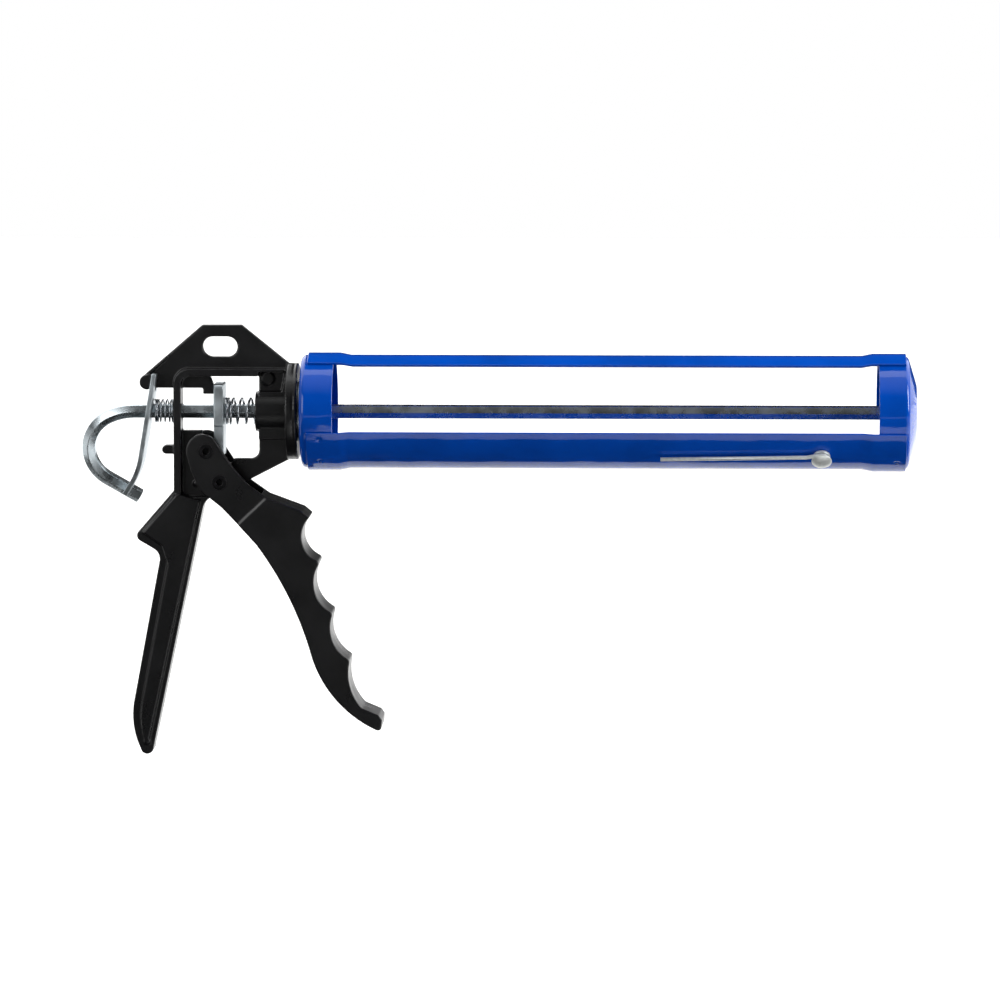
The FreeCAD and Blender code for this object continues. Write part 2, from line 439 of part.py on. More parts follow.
def add_outline(sketch, steps, closed=True):
    """Lines between corners; a step that is a list [via, corner] is an arc through via.

    An arc in a sketch always runs anticlockwise, so its ends swap when it bends the other way."""
    start = steps[0]
    rest = list(steps[1:])
    finish = rest[-1][1] if isinstance(rest[-1], list) else rest[-1]
    if closed and finish != start:
        rest.append(start)
    first_end = None
    last_end = None
    here = start
    for step in rest:
        via = None
        if isinstance(step, list):
            via, step = step
        a, b = vector(here), vector(step)
        ends = (1, 2)
        if via is None:
            index = sketch.addGeometry(Part.LineSegment(a, b), False)
        else:
            middle = vector(via)
            index = sketch.addGeometry(Part.Arc(a, middle, b), False)
            side = (middle - a).cross(b - a).z
            if side < 0:
                ends = (2, 1)
            mark = sketch.addGeometry(Part.Point(middle), True)
            pin_point(sketch, mark, 1, via)
            sketch.addConstraint(Sketcher.Constraint("PointOnObject", mark, 1, index))
        pin_point(sketch, index, ends[0], here)
        if last_end:
            sketch.addConstraint(Sketcher.Constraint("Coincident", *last_end, index, ends[0]))
        first_end = first_end or (index, ends[0])
        last_end = (index, ends[1])
        here = step
    if closed:
        sketch.addConstraint(Sketcher.Constraint("Coincident", *last_end, *first_end))
    else:
        pin_point(sketch, *last_end, here)


def add_circle(sketch, centre, radius):
    """Circle at a pair of sheet names, with a bound radius."""
    index = sketch.addGeometry(Part.Circle(vector(centre), FreeCAD.Vector(0, 0, 1), size(radius)), False)
    pin_point(sketch, index, 3, centre)
    tie = sketch.addConstraint(Sketcher.Constraint("Radius", index, size(radius)))
    sketch.setExpression("Constraints[%d]" % tie, bound(radius))


def add_hexagon(sketch, corner, turn=0):
    """Hexagon about the sketch's origin, given the radius over its corners and its turn."""
    angles = [math.radians(60 * k + size(turn)) for k in range(6)]
    radius = size(corner)
    spots = [FreeCAD.Vector(radius * math.cos(a), radius * math.sin(a), 0) for a in angles]
    edges = [sketch.addGeometry(Part.LineSegment(spots[k], spots[(k + 1) % 6]), False) for k in range(6)]
    for k in range(6):
        sketch.addConstraint(Sketcher.Constraint("Coincident", edges[k], 2, edges[(k + 1) % 6], 1))
        angle = "(%d + %s) * 1 deg" % (60 * k, turn)
        for kind, form, start in (("DistanceX", "cos", spots[k].x), ("DistanceY", "sin", spots[k].y)):
            tie = sketch.addConstraint(Sketcher.Constraint(kind, -1, 1, edges[k], 1, start))
            sketch.setExpression("Constraints[%d]" % tie, bound("%s * %s(%s)" % (corner, form, angle)))


def pad(body, sketch, length, side="Symmetric", reverse=False):
    """Pad a sketch by a bound length."""
    feature = body.newObject("PartDesign::Pad", sketch.Name + "_pad")
    feature.Profile = sketch
    feature.SideType = side
    feature.Reversed = reverse
    feature.setExpression("Length", bound(length))
    sketch.Visibility = False
    doc.recompute()
    return feature


def pocket(body, sketch, length=None, side="Symmetric", reverse=False):
    """Pocket a sketch, right through or by a bound length, and make sure that it cuts."""
    doc.recompute()
    before = body.Shape.Volume
    feature = body.newObject("PartDesign::Pocket", sketch.Name + "_cut")
    feature.Profile = sketch
    feature.SideType = side
    feature.Reversed = reverse
    if length is None:
        feature.Type = "ThroughAll"
    else:
        feature.setExpression("Length", bound(length))
    doc.recompute()
    if body.Shape.Volume >= before - 0.01:
        raise RuntimeError(sketch.Name + " cuts nothing")
    return feature


def revolve(body, sketch, axis="H_Axis", angle=360, midplane=False):
    """Turn a profile about one of the sketch's axes."""
    feature = body.newObject("PartDesign::Revolution", sketch.Name + "_turn")
    feature.Profile = sketch
    feature.ReferenceAxis = (sketch, [axis])
    feature.Midplane = midplane
    feature.setExpression("Angle", bound(angle))
    doc.recompute()
    return feature


def round_edges(body, radius, keep):
    """Fillet the edges of a body that a test on the edge's middle and direction keeps."""
    doc.recompute()
    base = body.Tip
    names = []
    for number, edge in enumerate(base.Shape.Edges, start=1):
        middle = edge.valueAt((edge.FirstParameter + edge.LastParameter) / 2)
        if keep(edge, middle):
            names.append("Edge%d" % number)
    if not names:
        raise RuntimeError(body.Label + " has no edge to round")
    fillet = body.newObject("PartDesign::Fillet", body.Name + "_round_%d" % len(body.Group))
    fillet.Base = (base, names)
    fillet.setExpression("Radius", bound(radius))
    doc.recompute()
    return fillet


def turned(label, profile, axis="H_Axis", **spot):
    """Body turned from one profile, drawn in the XY plane as pairs of sheet names."""
    body = new_body(label, **spot)
    sketch = new_sketch(body, label + "_profile", "XY_Plane")
    add_outline(sketch, profile)
    revolve(body, sketch, axis)
    return body


fill_sheet()

# --- Barrel: two pressed caps and two welded straps ---------------------------------------------


def make_cap(label, edge, rim, inner, wall):
    """Pressed cup: a skirt of sheet and an end wall with a round hole, its bent edge rounded."""
    body = turned(label, [(edge, "cap_outer"), (rim, "cap_outer"), (rim, "cap_bore"),
                          (inner, "cap_bore")] + wall)
    outer = size("cap_outer")
    bore = size("cap_bore")

    def bent(x, radius):
        def keep(edge, middle):
            far = math.hypot(middle.y, middle.z)
            return abs(middle.x - x) < 0.01 and abs(far - radius) < 0.01
        return keep
    round_edges(body, "cap_edge", bent(size(edge), outer))
    round_edges(body, "cap_edge - cap_wall", bent(size(inner), bore))
    return body


rear_cap = make_cap("rear_cap", "rear_face", "rear_rim", "rear_wall",
                    [("rear_wall", "cap_hole"), ("rear_face", "cap_hole")])
front_cap = make_cap("front_cap", "end_edge", "front_rim", "end_inner",
                     [("front_wall", "end_flat"), ("front_wall", "nozzle_radius"),
                      (0, "nozzle_radius"), (0, "end_flat")])
slot = new_sketch(front_cap, "nozzle_slot_outline", "YZ_Plane")
add_outline(slot, [(0, "-slot_half"), ("slot_reach", "-slot_half"), ("slot_reach", "slot_half"),
                   (0, "slot_half")])
pocket(front_cap, slot)
for cap in (rear_cap, front_cap):
    place(cap, rotation=FreeCAD.Rotation(FreeCAD.Vector(1, 0, 0), size("loading_roll")))


def make_strap(label, roll, skew):
    """Curved strap: a joggled strip turned part of the way round the barrel's axis."""
    body = new_body(label)
    sketch = new_sketch(body, label + "_strip", skew=skew)
    outer = [("strap_rear", "strap_seat"), ("rear_joggle", "strap_seat"),
             ("rear_joggle_end", "strap_outer"), ("front_joggle_end", "strap_outer"),
             ("front_joggle", "strap_seat"), ("strap_front", "strap_seat")]
    inner = [("strap_front", "cap_outer"), ("front_joggle", "cap_outer"),
             ("front_joggle_end", "strap_inner"), ("rear_joggle_end", "strap_inner"),
             ("rear_joggle", "cap_outer"), ("strap_rear", "cap_outer")]
    add_outline(sketch, outer + inner)
    revolve(body, sketch, angle="strap_arc", midplane=True)
    place(body, rotation=FreeCAD.Rotation(FreeCAD.Vector(1, 0, 0), size(roll)))
    return body


def add_welds(strap, skew):
    """Dimples that spot welding left in both ends of a strap."""
    for number, (x, turn) in enumerate((("rear_weld", 0), ("rear_weld", size("weld_angle")),
                                        ("front_weld", 0))):
        ball = strap.newObject("PartDesign::SubtractiveSphere", strap.Label + "_weld_%d" % number)
        ball.setExpression("Radius", bound("weld_radius"))
        lean = FreeCAD.Rotation(FreeCAD.Vector(1, 0, 0), skew + turn)
        centre = lean.multVec(FreeCAD.Vector(size(x), 0, size("weld_ball")))
        ball.Placement = FreeCAD.Placement(centre, FreeCAD.Rotation())
    doc.recompute()


upper_strap = make_strap("upper_strap", "upper_roll", None)
add_welds(upper_strap, 0)
lower_strap = make_strap("lower_strap", "lower_roll", "rivet_skew")
add_welds(lower_strap, size("rivet_skew"))
rivet_hole = new_sketch(lower_strap, "rivet_hole", "XY_Plane")
add_circle(rivet_hole, ("rivet_x", 0), "rivet_radius")
pocket(lower_strap, rivet_hole, "strap_seat", side="One side", reverse=True)

# --- Swivel: what holds the barrel on the frame's spigot ----------------------------------------

bearing_washer = turned("bearing_washer", [(0, "cap_hole"), ("swivel_gap", "cap_hole"),
                                           ("swivel_gap", "keeper_radius"), (0, "keeper_radius")],
                        x="frame_x")
retaining_washer = turned("retaining_washer", [("keeper_back", "cap_hole"), ("ring_back", "cap_hole"),
                                               ("ring_back", "keeper_radius"),
                                               ("keeper_back", "keeper_radius")], x="frame_x")
retaining_ring = turned("retaining_ring", [("ring_back", "ring_seat"), ("ring_front", "ring_seat"),
                                           ("ring_front", "ring_outer"), ("ring_back", "ring_outer")],
                        x="frame_x")
ring_mouth = new_sketch(retaining_ring, "ring_mouth", "YZ_Plane")
add_outline(ring_mouth, [("-ring_gap", 0), ("ring_gap", 0), ("ring_gap", "-keeper_radius"),
                         ("-ring_gap", "-keeper_radius")])
pocket(retaining_ring, ring_mouth)

# --- Piercing wire and its rivet ----------------------------------------------------------------


def on_strap(piece, lean=0):
    """Stand a piece on the rivet's axis, which points out of the lower strap."""
    roll = FreeCAD.Rotation(FreeCAD.Vector(1, 0, 0), size("lower_roll"))
    piece.Placement = FreeCAD.Placement(FreeCAD.Vector(size("rivet_x"), 0, 0),
                                        roll * FreeCAD.Rotation(FreeCAD.Vector(0, 0, 1), lean))


pin_rivet = turned("pin_rivet", [(0, "foot_level"), ("rivet_foot", "foot_level"),
                                 ("rivet_foot", "foot_top"), ("rivet_radius", "foot_top"),
                                 ("rivet_radius", "head_level"), ("rivet_head", "head_level"),
                                 ("rivet_head", "head_edge"),
                                 [("dome_radius", "dome_level"), (0, "head_rise")]], axis="V_Axis")
lift_washer = turned("lift_washer", [("rivet_radius", "strap_outer"),
                                     ("lift_washer_radius", "strap_outer"),
                                     ("lift_washer_radius", "washer_level"),
                                     ("rivet_radius", "washer_level")], axis="V_Axis")


def stand_up(piece):
    """Turn a piece that was made about Y so that its axis is the rivet's."""
    roll = FreeCAD.Rotation(FreeCAD.Vector(1, 0, 0), size("lower_roll") + 90)
    piece.Placement = FreeCAD.Placement(FreeCAD.Vector(size("rivet_x"), 0, 0), roll)


stand_up(pin_rivet)
stand_up(lift_washer)


def add_path(sketch, start, heading, steps):
    """Open path: ("line", length) and ("left" or "right", radius, turn) steps, each tangent to the last."""
    spot = vector(start)
    angle = heading
    last = None
    for kind, *sizes in steps:
        if kind == "line":
            way = FreeCAD.Vector(math.cos(math.radians(angle)), math.sin(math.radians(angle)), 0)
            end = spot + way * size(sizes[0])
            index = sketch.addGeometry(Part.LineSegment(spot, end), False)
            ends = (1, 2)
            ties = [(Sketcher.Constraint("Distance", index, size(sizes[0])), bound(sizes[0]))]
        else:
            radius, turn = size(sizes[0]), size(sizes[1])
            side = 1 if kind == "left" else -1
            out = math.radians(angle - 90 * side)
            centre = spot - FreeCAD.Vector(math.cos(out), math.sin(out), 0) * radius
            span = sorted((out, out + side * math.radians(turn)))
            circle = Part.Circle(centre, FreeCAD.Vector(0, 0, 1), radius)
            index = sketch.addGeometry(Part.ArcOfCircle(circle, *span), False)
            ends = (1, 2) if side > 0 else (2, 1)
            angle += side * turn
            out += side * math.radians(turn)
            end = centre + FreeCAD.Vector(math.cos(out), math.sin(out), 0) * radius
            ties = [(Sketcher.Constraint("Radius", index, radius), bound(sizes[0])),
                    (Sketcher.Constraint("Angle", index, math.radians(turn)),
                     bound(sizes[1]) + " * 1 deg")]
        if last is None:
            pin_point(sketch, index, ends[0], start)
            sketch.addConstraint(Sketcher.Constraint("Horizontal", index))
        else:
            sketch.addConstraint(Sketcher.Constraint("Tangent", *last, index, ends[0]))
        for tie, formula in ties:
            sketch.setExpression("Constraints[%d]" % sketch.addConstraint(tie), formula)
        last = (index, ends[1])
        spot = end


def sweep(body, profile, path):
    """Carry a profile along a path sketch."""
    pipe = body.newObject("PartDesign::AdditivePipe", profile.Name + "_sweep")
    pipe.Profile = profile
    pipe.Spine = path
    doc.recompute()
    return pipe


seal_pin = new_body("seal_pin")
wire_profile = new_sketch(seal_pin, "wire_profile", "YZ_Plane", shift="-wire_length")
add_circle(wire_profile, ("wire_side", "loop_level"), "wire_half")
wire_path = new_sketch(seal_pin, "wire_path", "XY_Plane", shift="loop_level")
add_path(wire_path, ("-wire_length", "wire_side"), 0,
         [("line", "wire_leg"), ("left", "knee_radius", "knee_turn"), ("line", "wire_neck"),
          ("right", "loop_mean", "loop_turn")])
sweep(seal_pin, wire_profile, wire_path)
on_strap(seal_pin, size("wire_lean"))

# --- Push rod with its hook, pusher and fixings -------------------------------------------------

hook_lean = FreeCAD.Rotation(FreeCAD.Vector(1, 0, 0), size("hook_roll"))
push_rod = new_body("push_rod", rotation=hook_lean)
rod_profile = new_sketch(push_rod, "rod_profile", "YZ_Plane", shift="rod_front")
add_hexagon(rod_profile, "rod_corner", "rod_twist")
rod_path = new_sketch(push_rod, "rod_path")
add_path(rod_path, ("rod_front", 0), 180,
         [("line", "rod_straight"), ("left", "hook_lead_radius", "hook_lead_turn"),
          ("left", "hook_radius", "hook_turn"), ("line", "hook_tail")])
sweep(push_rod, rod_profile, rod_path)
stud = new_sketch(push_rod, "stud", "YZ_Plane", shift="rod_front")
add_circle(stud, (0, 0), "stud_radius")
pad(push_rod, stud, "stud_length", side="One side")

pusher_backing = turned("pusher_backing", [(0, "stud_radius"), ("backing_wall", "stud_radius"),
                                           ("backing_wall", "backing_radius"), (0, "backing_radius")],
                        x="rod_front")
pusher_plate = turned("pusher_plate",
                      [("backing_wall", "stud_radius"), ("pusher_front", "stud_radius"),
                       ("pusher_front", "pusher_flat"), ("pusher_rim_front", "pusher_radius"),
                       ("pusher_rim_back", "pusher_radius"), ("backing_wall", "pusher_flat")],
                      x="rod_front")
pusher_nut = new_body("pusher_nut", x="rod_front")
nut_outline = new_sketch(pusher_nut, "nut_outline", "YZ_Plane", shift="pusher_front")
add_hexagon(nut_outline, "nut_corner", "rod_twist")
add_circle(nut_outline, (0, 0), "stud_radius")
pad(pusher_nut, nut_outline, "nut_height", side="One side")

# --- Frame casting: hanging plate, window, collar, spigot and fixed handle ----------------------

casting = new_body("frame_casting", x="frame_x")
handle = ["crotch_low", "front_foot", ["handle_tip", "back_foot"], ["swell", "back_low"], "back_high",
          ["horn_arc", "horn_root"], "horn_low", ["horn_tip", "horn_high"], "flange_foot", "handle_top",
          "crotch_high", ["crotch_mid", "crotch_low"]]
handle_core = new_sketch(casting, "handle_core_outline")
add_outline(handle_core, handle)
pad(casting, handle_core, "handle_core")
handle_face = new_sketch(casting, "handle_face")
add_outline(handle_face, ["inner_front", "inner_front_foot", ["inner_foot", "inner_back_foot"],
                          ["inner_swell", "inner_back"], "inner_high", "inner_root", "inner_horn",
                          "inner_shoulder", "inner_top"])
pad(casting, handle_face, "handle_width")

web = new_sketch(casting, "web_outline")
add_outline(web, ["nose_under", "nose_heel", "flange_foot", "handle_top", "crotch_high", "arm_foot",
                  "arm_heel", "collar_low", "collar_high", "hang_front", "hang_rear", "nose_back"])
add_outline(web, ["window_high", "window_turn", ["window_round", "window_low"], "window_foot",
                  "bay_front", "bay_rear", "bay_top", "sill_front", "sill_edge", "sill_rear",
                  "web_rear", "web_front", "lug_rear", "lug_front", "lug_high", "lug_root"])
pad(casting, web, "web")
nose = new_sketch(casting, "nose")
add_circle(nose, ("nose_x", "nose_z"), "nose_radius")
pad(casting, nose, "nose_width")
relief = new_sketch(casting, "nose_relief")
add_outline(relief, ["relief_top", "relief_mid", "relief_low", "relief_front", "relief_back"])
pocket(casting, relief, "catch_width")
nose_web = new_sketch(casting, "nose_web")
add_outline(nose_web, ["nose_under", "nose_heel", "rim_low", "hang_rear", "nose_back"])
pad(casting, nose_web, "web")
rib = new_sketch(casting, "nose_rib")
add_outline(rib, ["rib_low", "rib_high", "rib_inner_high", "rib_inner_low"])
pad(casting, rib, "rib_width")

window_rim = new_sketch(casting, "window_rim")
add_outline(window_rim, ["rim_low", ["rim_bend", "rim_high"], "rim_front", "rim_inner_front",
                         "recess_top", "window_high", "rim_inner_high",
                         ["rim_inner_bend", "rim_inner_low"], "rim_foot_front",
                         ["rim_foot_tip", "rim_foot_rear"]])
pad(casting, window_rim, "rim_width")
block = new_sketch(casting, "collar_block")
add_outline(block, ["recess_rear", "recess_low", "recess_high", "block_high", "block_foot",
                    "block_low"])
pad(casting, block, "block_width")
for name, centre, radius in (("high_mark", "mark_high", "mark_radius"),
                             ("low_mark", "mark_low", "small_mark_radius")):
    mark = new_sketch(casting, name)
    add_circle(mark, centre, radius)
    pad(casting, mark, "mark_width")
peg = new_sketch(casting, "stop_peg")
add_outline(peg, [("peg_root", "peg_high"), ("peg_round", "peg_high"),
                  [("peg_tip", "peg_z"), ("peg_round", "peg_low")], ("peg_root", "peg_low")])
pad(casting, peg, "peg_width")
hub = new_sketch(casting, "pivot_hub")
add_circle(hub, ("pivot_x", "pivot_z"), "hub_radius")
pad(casting, hub, "hub_width")

front = new_sketch(casting, "boss_and_collar", "XY_Plane")
add_outline(front, [("boss_face", 0), ("boss_face", "boss_radius"), ("collar_face", "boss_radius"),
                    ("collar_face", "collar_radius"), ("collar_step", "collar_radius"),
                    ("collar_step", "collar_neck"), ("collar_disc", "collar_neck"),
                    ("collar_disc", "collar_radius"), (0, "collar_radius"), (0, "spigot_radius"),
                    ("ring_back", "spigot_radius"), ("ring_back", "ring_seat"),
                    ("ring_front", "ring_seat"), ("ring_front", "spigot_radius"),
                    ("spigot_end", "spigot_radius"), ("spigot_end", 0)])
revolve(casting, front)
bore = new_sketch(casting, "rod_guide", "YZ_Plane")
add_circle(bore, (0, 0), "rod_bore")
pocket(casting, bore)
seat = new_sketch(casting, "spring_seat", "YZ_Plane", shift="boss_face")
add_circle(seat, (0, 0), "seat_radius")
pocket(casting, seat, "seat_depth", side="One side", reverse=True)
pivot_bore = new_sketch(casting, "pivot_bore")
add_circle(pivot_bore, ("pivot_x", "pivot_z"), "hub_bore")
pocket(casting, pivot_bore)
hang_slot = new_sketch(casting, "hang_slot")
add_outline(hang_slot, [("slot_rear", "slot_high"), ("slot_front", "slot_high"),
                        [("slot_front_end", "hang_z"), ("slot_front", "slot_low")],
                        ("slot_rear", "slot_low"),
                        [("slot_rear_end", "hang_z"), ("slot_rear", "slot_high")]])
pocket(casting, hang_slot)

# --- Trigger, its two pins and the spacer that drives the plate ---------------------------------

trigger = new_body("trigger", x="frame_x")
grip_front = ["grip_high", "finger_one", ["hollow_one", "finger_two"], ["hollow_two", "finger_three"],
              ["hollow_three", "finger_four"], ["hollow_four", "toe_root"], "toe_high", "toe_front",
              "toe_under", ["toe_round", "toe_low"], ["back_sole", "back_three"], ["back_two", "back_one"]]
fork = new_sketch(trigger, "fork")
add_outline(fork, ["cheek_rear", ["cheek_crown", "cheek_front"], "fork_front", "fork_low", "grip_step"]
            + grip_front + [["back_step", "fork_back"], "fork_heel", ["fork_round", "fork_rear"],
                            "cheek_slope"])
pad(trigger, fork, "fork_width")
grip = new_sketch(trigger, "grip")
add_outline(grip, ["grip_step"] + grip_front + ["back_step"])
pad(trigger, grip, "grip_width")
channel = new_sketch(trigger, "channel")
add_outline(channel, ["wall_front", "wall_top", "wall_one", ["wall_two", "wall_three"],
                      ["wall_four", "wall_five"], ["wall_six", "wall_seven"],
                      ["wall_eight", "wall_nine"], "wall_ten", "wall_end", "wall_out", "wall_far",
                      "wall_back"])
pocket(trigger, channel, "cheek_gap")


def on_ridge(edge, middle):
    """Edges that run across the trigger, along the ridges between the fingers."""
    ridges = ("finger_two", "finger_three", "finger_four")
    return any(math.hypot(middle.x - size(name + "_x"), middle.z - size(name + "_z")) < 0.05
               for name in ridges)


round_edges(trigger, "finger_round", on_ridge)
pin_holes = new_sketch(trigger, "pin_holes")
add_circle(pin_holes, ("pivot_x", "pivot_z"), "pin_radius")
add_circle(pin_holes, ("drive_x", "drive_z"), "pin_radius")
pocket(trigger, pin_holes)

PIN = [(0, "-pin_well"), ("pin_hollow", "-pin_well"), ("pin_hollow", "-pin_end"),
       ("pin_head", "-pin_end"), ("pin_head", "-pin_reach"), ("pin_radius", "-pin_reach"),
       ("pin_radius", "pin_reach"), ("pin_head", "pin_reach"), ("pin_head", "pin_end"),
       ("pin_hollow", "pin_end"), ("pin_hollow", "pin_well"), (0, "pin_well")]
pivot_pin = turned("pivot_pin", PIN, axis="V_Axis", x="pivot_place", z="pivot_z")
drive_pin = turned("drive_pin", PIN, axis="V_Axis", x="drive_place", z="drive_z")
drive_spacer = turned("drive_spacer", [("pin_radius", "-spacer_half"), ("spacer_radius", "-spacer_half"),
                                       ("spacer_radius", "spacer_half"), ("pin_radius", "spacer_half")],
                      axis="V_Axis", x="drive_place", z="drive_z")

# --- Drive plate and its spring -----------------------------------------------------------------

drive_plate = new_body("drive_plate", x="frame_x")
plate_outline = new_sketch(drive_plate, "plate_outline", "YZ_Plane", shift="plate_rear")
add_outline(plate_outline, [("-plate_half", "plate_top"), ("plate_half", "plate_top"),
                            ("plate_half", "plate_waist"), ("tongue_half", "plate_waist"),
                            ("tongue_half", "plate_foot"), ("-tongue_half", "plate_foot"),
                            ("-tongue_half", "plate_waist"), ("-plate_half", "plate_waist")])
add_circle(plate_outline, (0, 0), "rod_bore")
pad(drive_plate, plate_outline, "plate_wall", side="One side")
round_edges(drive_plate, "plate_round",
            lambda edge, middle: (abs(middle.z - size("plate_top")) < 0.01
                                  and abs(abs(middle.y) - size("plate_half")) < 0.01))


def coil(label, mean, wire, first, pitch, height):
    """Compression spring about the rod, from its first coil forward."""
    body = new_body(label, x="frame_x")
    section = new_sketch(body, label + "_section")
    add_circle(section, (first, mean), wire)
    helix = body.newObject("PartDesign::AdditiveHelix", label + "_helix")
    helix.Profile = section
    helix.ReferenceAxis = (section, ["H_Axis"])
    helix.Mode = "pitch-height-angle"
    helix.setExpression("Pitch", bound(pitch))
    helix.setExpression("Height", bound(height))
    doc.recompute()
    return body


drive_spring = coil("drive_spring", "drive_mean", "drive_wire_half", "drive_first", "drive_pitch",
                    "drive_height")

# --- Release plate and its spring ---------------------------------------------------------------

catch_turned = FreeCAD.Rotation(FreeCAD.Vector(0, 1, 0), size("catch_tilt"))
release_plate = new_body("release_plate", x="catch_place", z="catch_z", rotation=catch_turned)
strip = new_sketch(release_plate, "strip")
add_outline(strip, [(0, "catch_top"), (0, "catch_waist_z"),
                    [("bend_mid_x", "bend_mid_z"), ("bend_end_x", "bend_end_z")],
                    ("tail_rear_x", "tail_rear_z"), ("tail_front_x", "tail_front_z"),
                    ("outer_end_x", "outer_end_z"),
                    [("outer_mid_x", "outer_mid_z"), ("catch_wall", "catch_waist_z")],
                    ("catch_wall", "catch_top")])
pad(release_plate, strip, "catch_width")
for name, side in (("left_taper", "-"), ("right_taper", "")):
    taper = new_sketch(release_plate, name, "YZ_Plane")
    add_outline(taper, [(side + "catch_half", "catch_waist_z"), (side + "catch_side", "catch_waist_z"),
                        (side + "catch_side", "catch_end_z"), (side + "catch_tip_half", "catch_end_z"),
                        (side + "catch_tip_half", "catch_tip_z")])
    pocket(release_plate, taper)
catch_cuts = new_sketch(release_plate, "catch_cuts", "YZ_Plane")
add_circle(catch_cuts, (0, "catch_bore_z"), "catch_hole")
add_outline(catch_cuts, [("-catch_slot_half", "slot_top"), ("catch_slot_half", "slot_top"),
                         ("catch_slot_half", "slot_foot"), ("-catch_slot_half", "slot_foot")])
pocket(release_plate, catch_cuts)
release_spring = coil("release_spring", "catch_coil_mean", "catch_wire_half", "catch_first",
                      "catch_pitch", "catch_height")

# --- Check every object, then write each piece --------------------------------------------------

pieces = [rear_cap, front_cap, upper_strap, lower_strap, pin_rivet, lift_washer, seal_pin,
          bearing_washer, retaining_washer, retaining_ring, push_rod, pusher_backing, pusher_plate,
          pusher_nut, casting, trigger, pivot_pin, drive_pin, drive_spacer, drive_plate, drive_spring,
          release_plate, release_spring]
doc.recompute()
for item in doc.Objects:
    if {"Invalid", "Error"} & set(item.State):
        raise RuntimeError(item.Label + " failed: " + str(item.State))
for piece in pieces:
    shape = piece.Shape
    if shape.isNull() or not shape.isValid() or len(shape.Solids) != 1:
        raise RuntimeError(piece.Label + " is not one valid solid")
os.makedirs("parts", exist_ok=True)
for piece in pieces:
    piece.Shape.exportStep("parts/" + piece.Label + ".step")
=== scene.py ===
import json
import math

import bmesh
import bpy
import numpy as np
from bpy.props import FloatProperty, FloatVectorProperty, IntProperty, PointerProperty
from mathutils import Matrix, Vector

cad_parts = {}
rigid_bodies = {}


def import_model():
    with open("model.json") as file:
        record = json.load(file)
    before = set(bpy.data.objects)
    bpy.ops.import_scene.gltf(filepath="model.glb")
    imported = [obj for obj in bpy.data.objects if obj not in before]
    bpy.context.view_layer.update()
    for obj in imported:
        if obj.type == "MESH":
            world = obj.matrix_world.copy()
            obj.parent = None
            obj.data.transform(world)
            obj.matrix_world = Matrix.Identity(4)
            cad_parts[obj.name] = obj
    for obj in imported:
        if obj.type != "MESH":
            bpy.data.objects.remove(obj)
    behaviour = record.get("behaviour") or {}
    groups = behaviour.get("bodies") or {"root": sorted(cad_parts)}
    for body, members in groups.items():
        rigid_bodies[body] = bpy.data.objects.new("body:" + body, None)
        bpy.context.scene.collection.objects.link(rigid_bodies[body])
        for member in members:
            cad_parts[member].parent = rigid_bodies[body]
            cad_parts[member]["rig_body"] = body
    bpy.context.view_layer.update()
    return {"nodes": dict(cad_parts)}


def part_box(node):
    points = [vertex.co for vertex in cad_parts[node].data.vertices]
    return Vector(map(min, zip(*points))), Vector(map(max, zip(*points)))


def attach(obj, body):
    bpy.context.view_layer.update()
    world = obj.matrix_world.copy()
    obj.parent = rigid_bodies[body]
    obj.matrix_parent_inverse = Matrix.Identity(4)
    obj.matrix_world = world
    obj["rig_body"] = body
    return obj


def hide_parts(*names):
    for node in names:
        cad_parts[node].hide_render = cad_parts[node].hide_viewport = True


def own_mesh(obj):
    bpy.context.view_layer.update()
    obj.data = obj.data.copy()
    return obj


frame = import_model()
NODES = frame["nodes"]

bl_info = {
    "name": "Caulking gun",
    "version": (1, 0, 0),
    "blender": (4, 5, 0),
    "location": "View3D > Sidebar > Caulking gun",
    "description": "Finishes, springs and studio for a strap-barrel caulking gun",
    "category": "Object",
}

MM = 0.001
MERGE = 2e-6            # corners of a CAD mesh's loose triangles that are nearer than this are one
RINGS_PER_TURN = 56     # round a spring's coil
WIRE_SIDES = 14         # round a spring's wire

# rounding of edges that the user doesn't set, in metres
PIN_ROUND = 0.00035
BAR_ROUND = 0.0003
PLATE_ROUND = 0.0006
SMALL_ROUND = 0.0002
SMALL_STEPS = 2         # faces across the round of a small part

# where each spring's turns lie, in millimetres from its rear end, up to its last two turns
DRIVE_TURNS = (0.0, 1.1, 3.4, 7.3, 11.4, 15.3)
RELEASE_TURNS = (0.0, 0.85, 1.7, 3.6, 5.7)
DRIVE_CLOSED = 1.25     # from the last turn but one to the front end, in millimetres
RELEASE_CLOSED = 0.9

GUN_MIDDLE = (-0.19496, 0.0, -0.0416)   # the point that the camera faces
SENSOR = 36.0           # width of the camera's sensor, in millimetres
FLOOR_HALF = 9.0        # half the floor's side

# each softbox: its name, the setting that holds its power, its place, its target and its size
SOFTBOXES = (
    ("ceiling_softbox", "ceiling", (-0.2, 4.2, 2.6), (-0.2, 4.2, 0.0), (9.0, 9.0)),
    ("right_softbox", "key", (1.1, -0.45, 0.55), GUN_MIDDLE, (0.5, 0.9)),
    ("left_softbox", "side", (-1.0, -0.9, 0.35), (-0.38, 0.0, 0.0), (0.7, 0.7)),
)

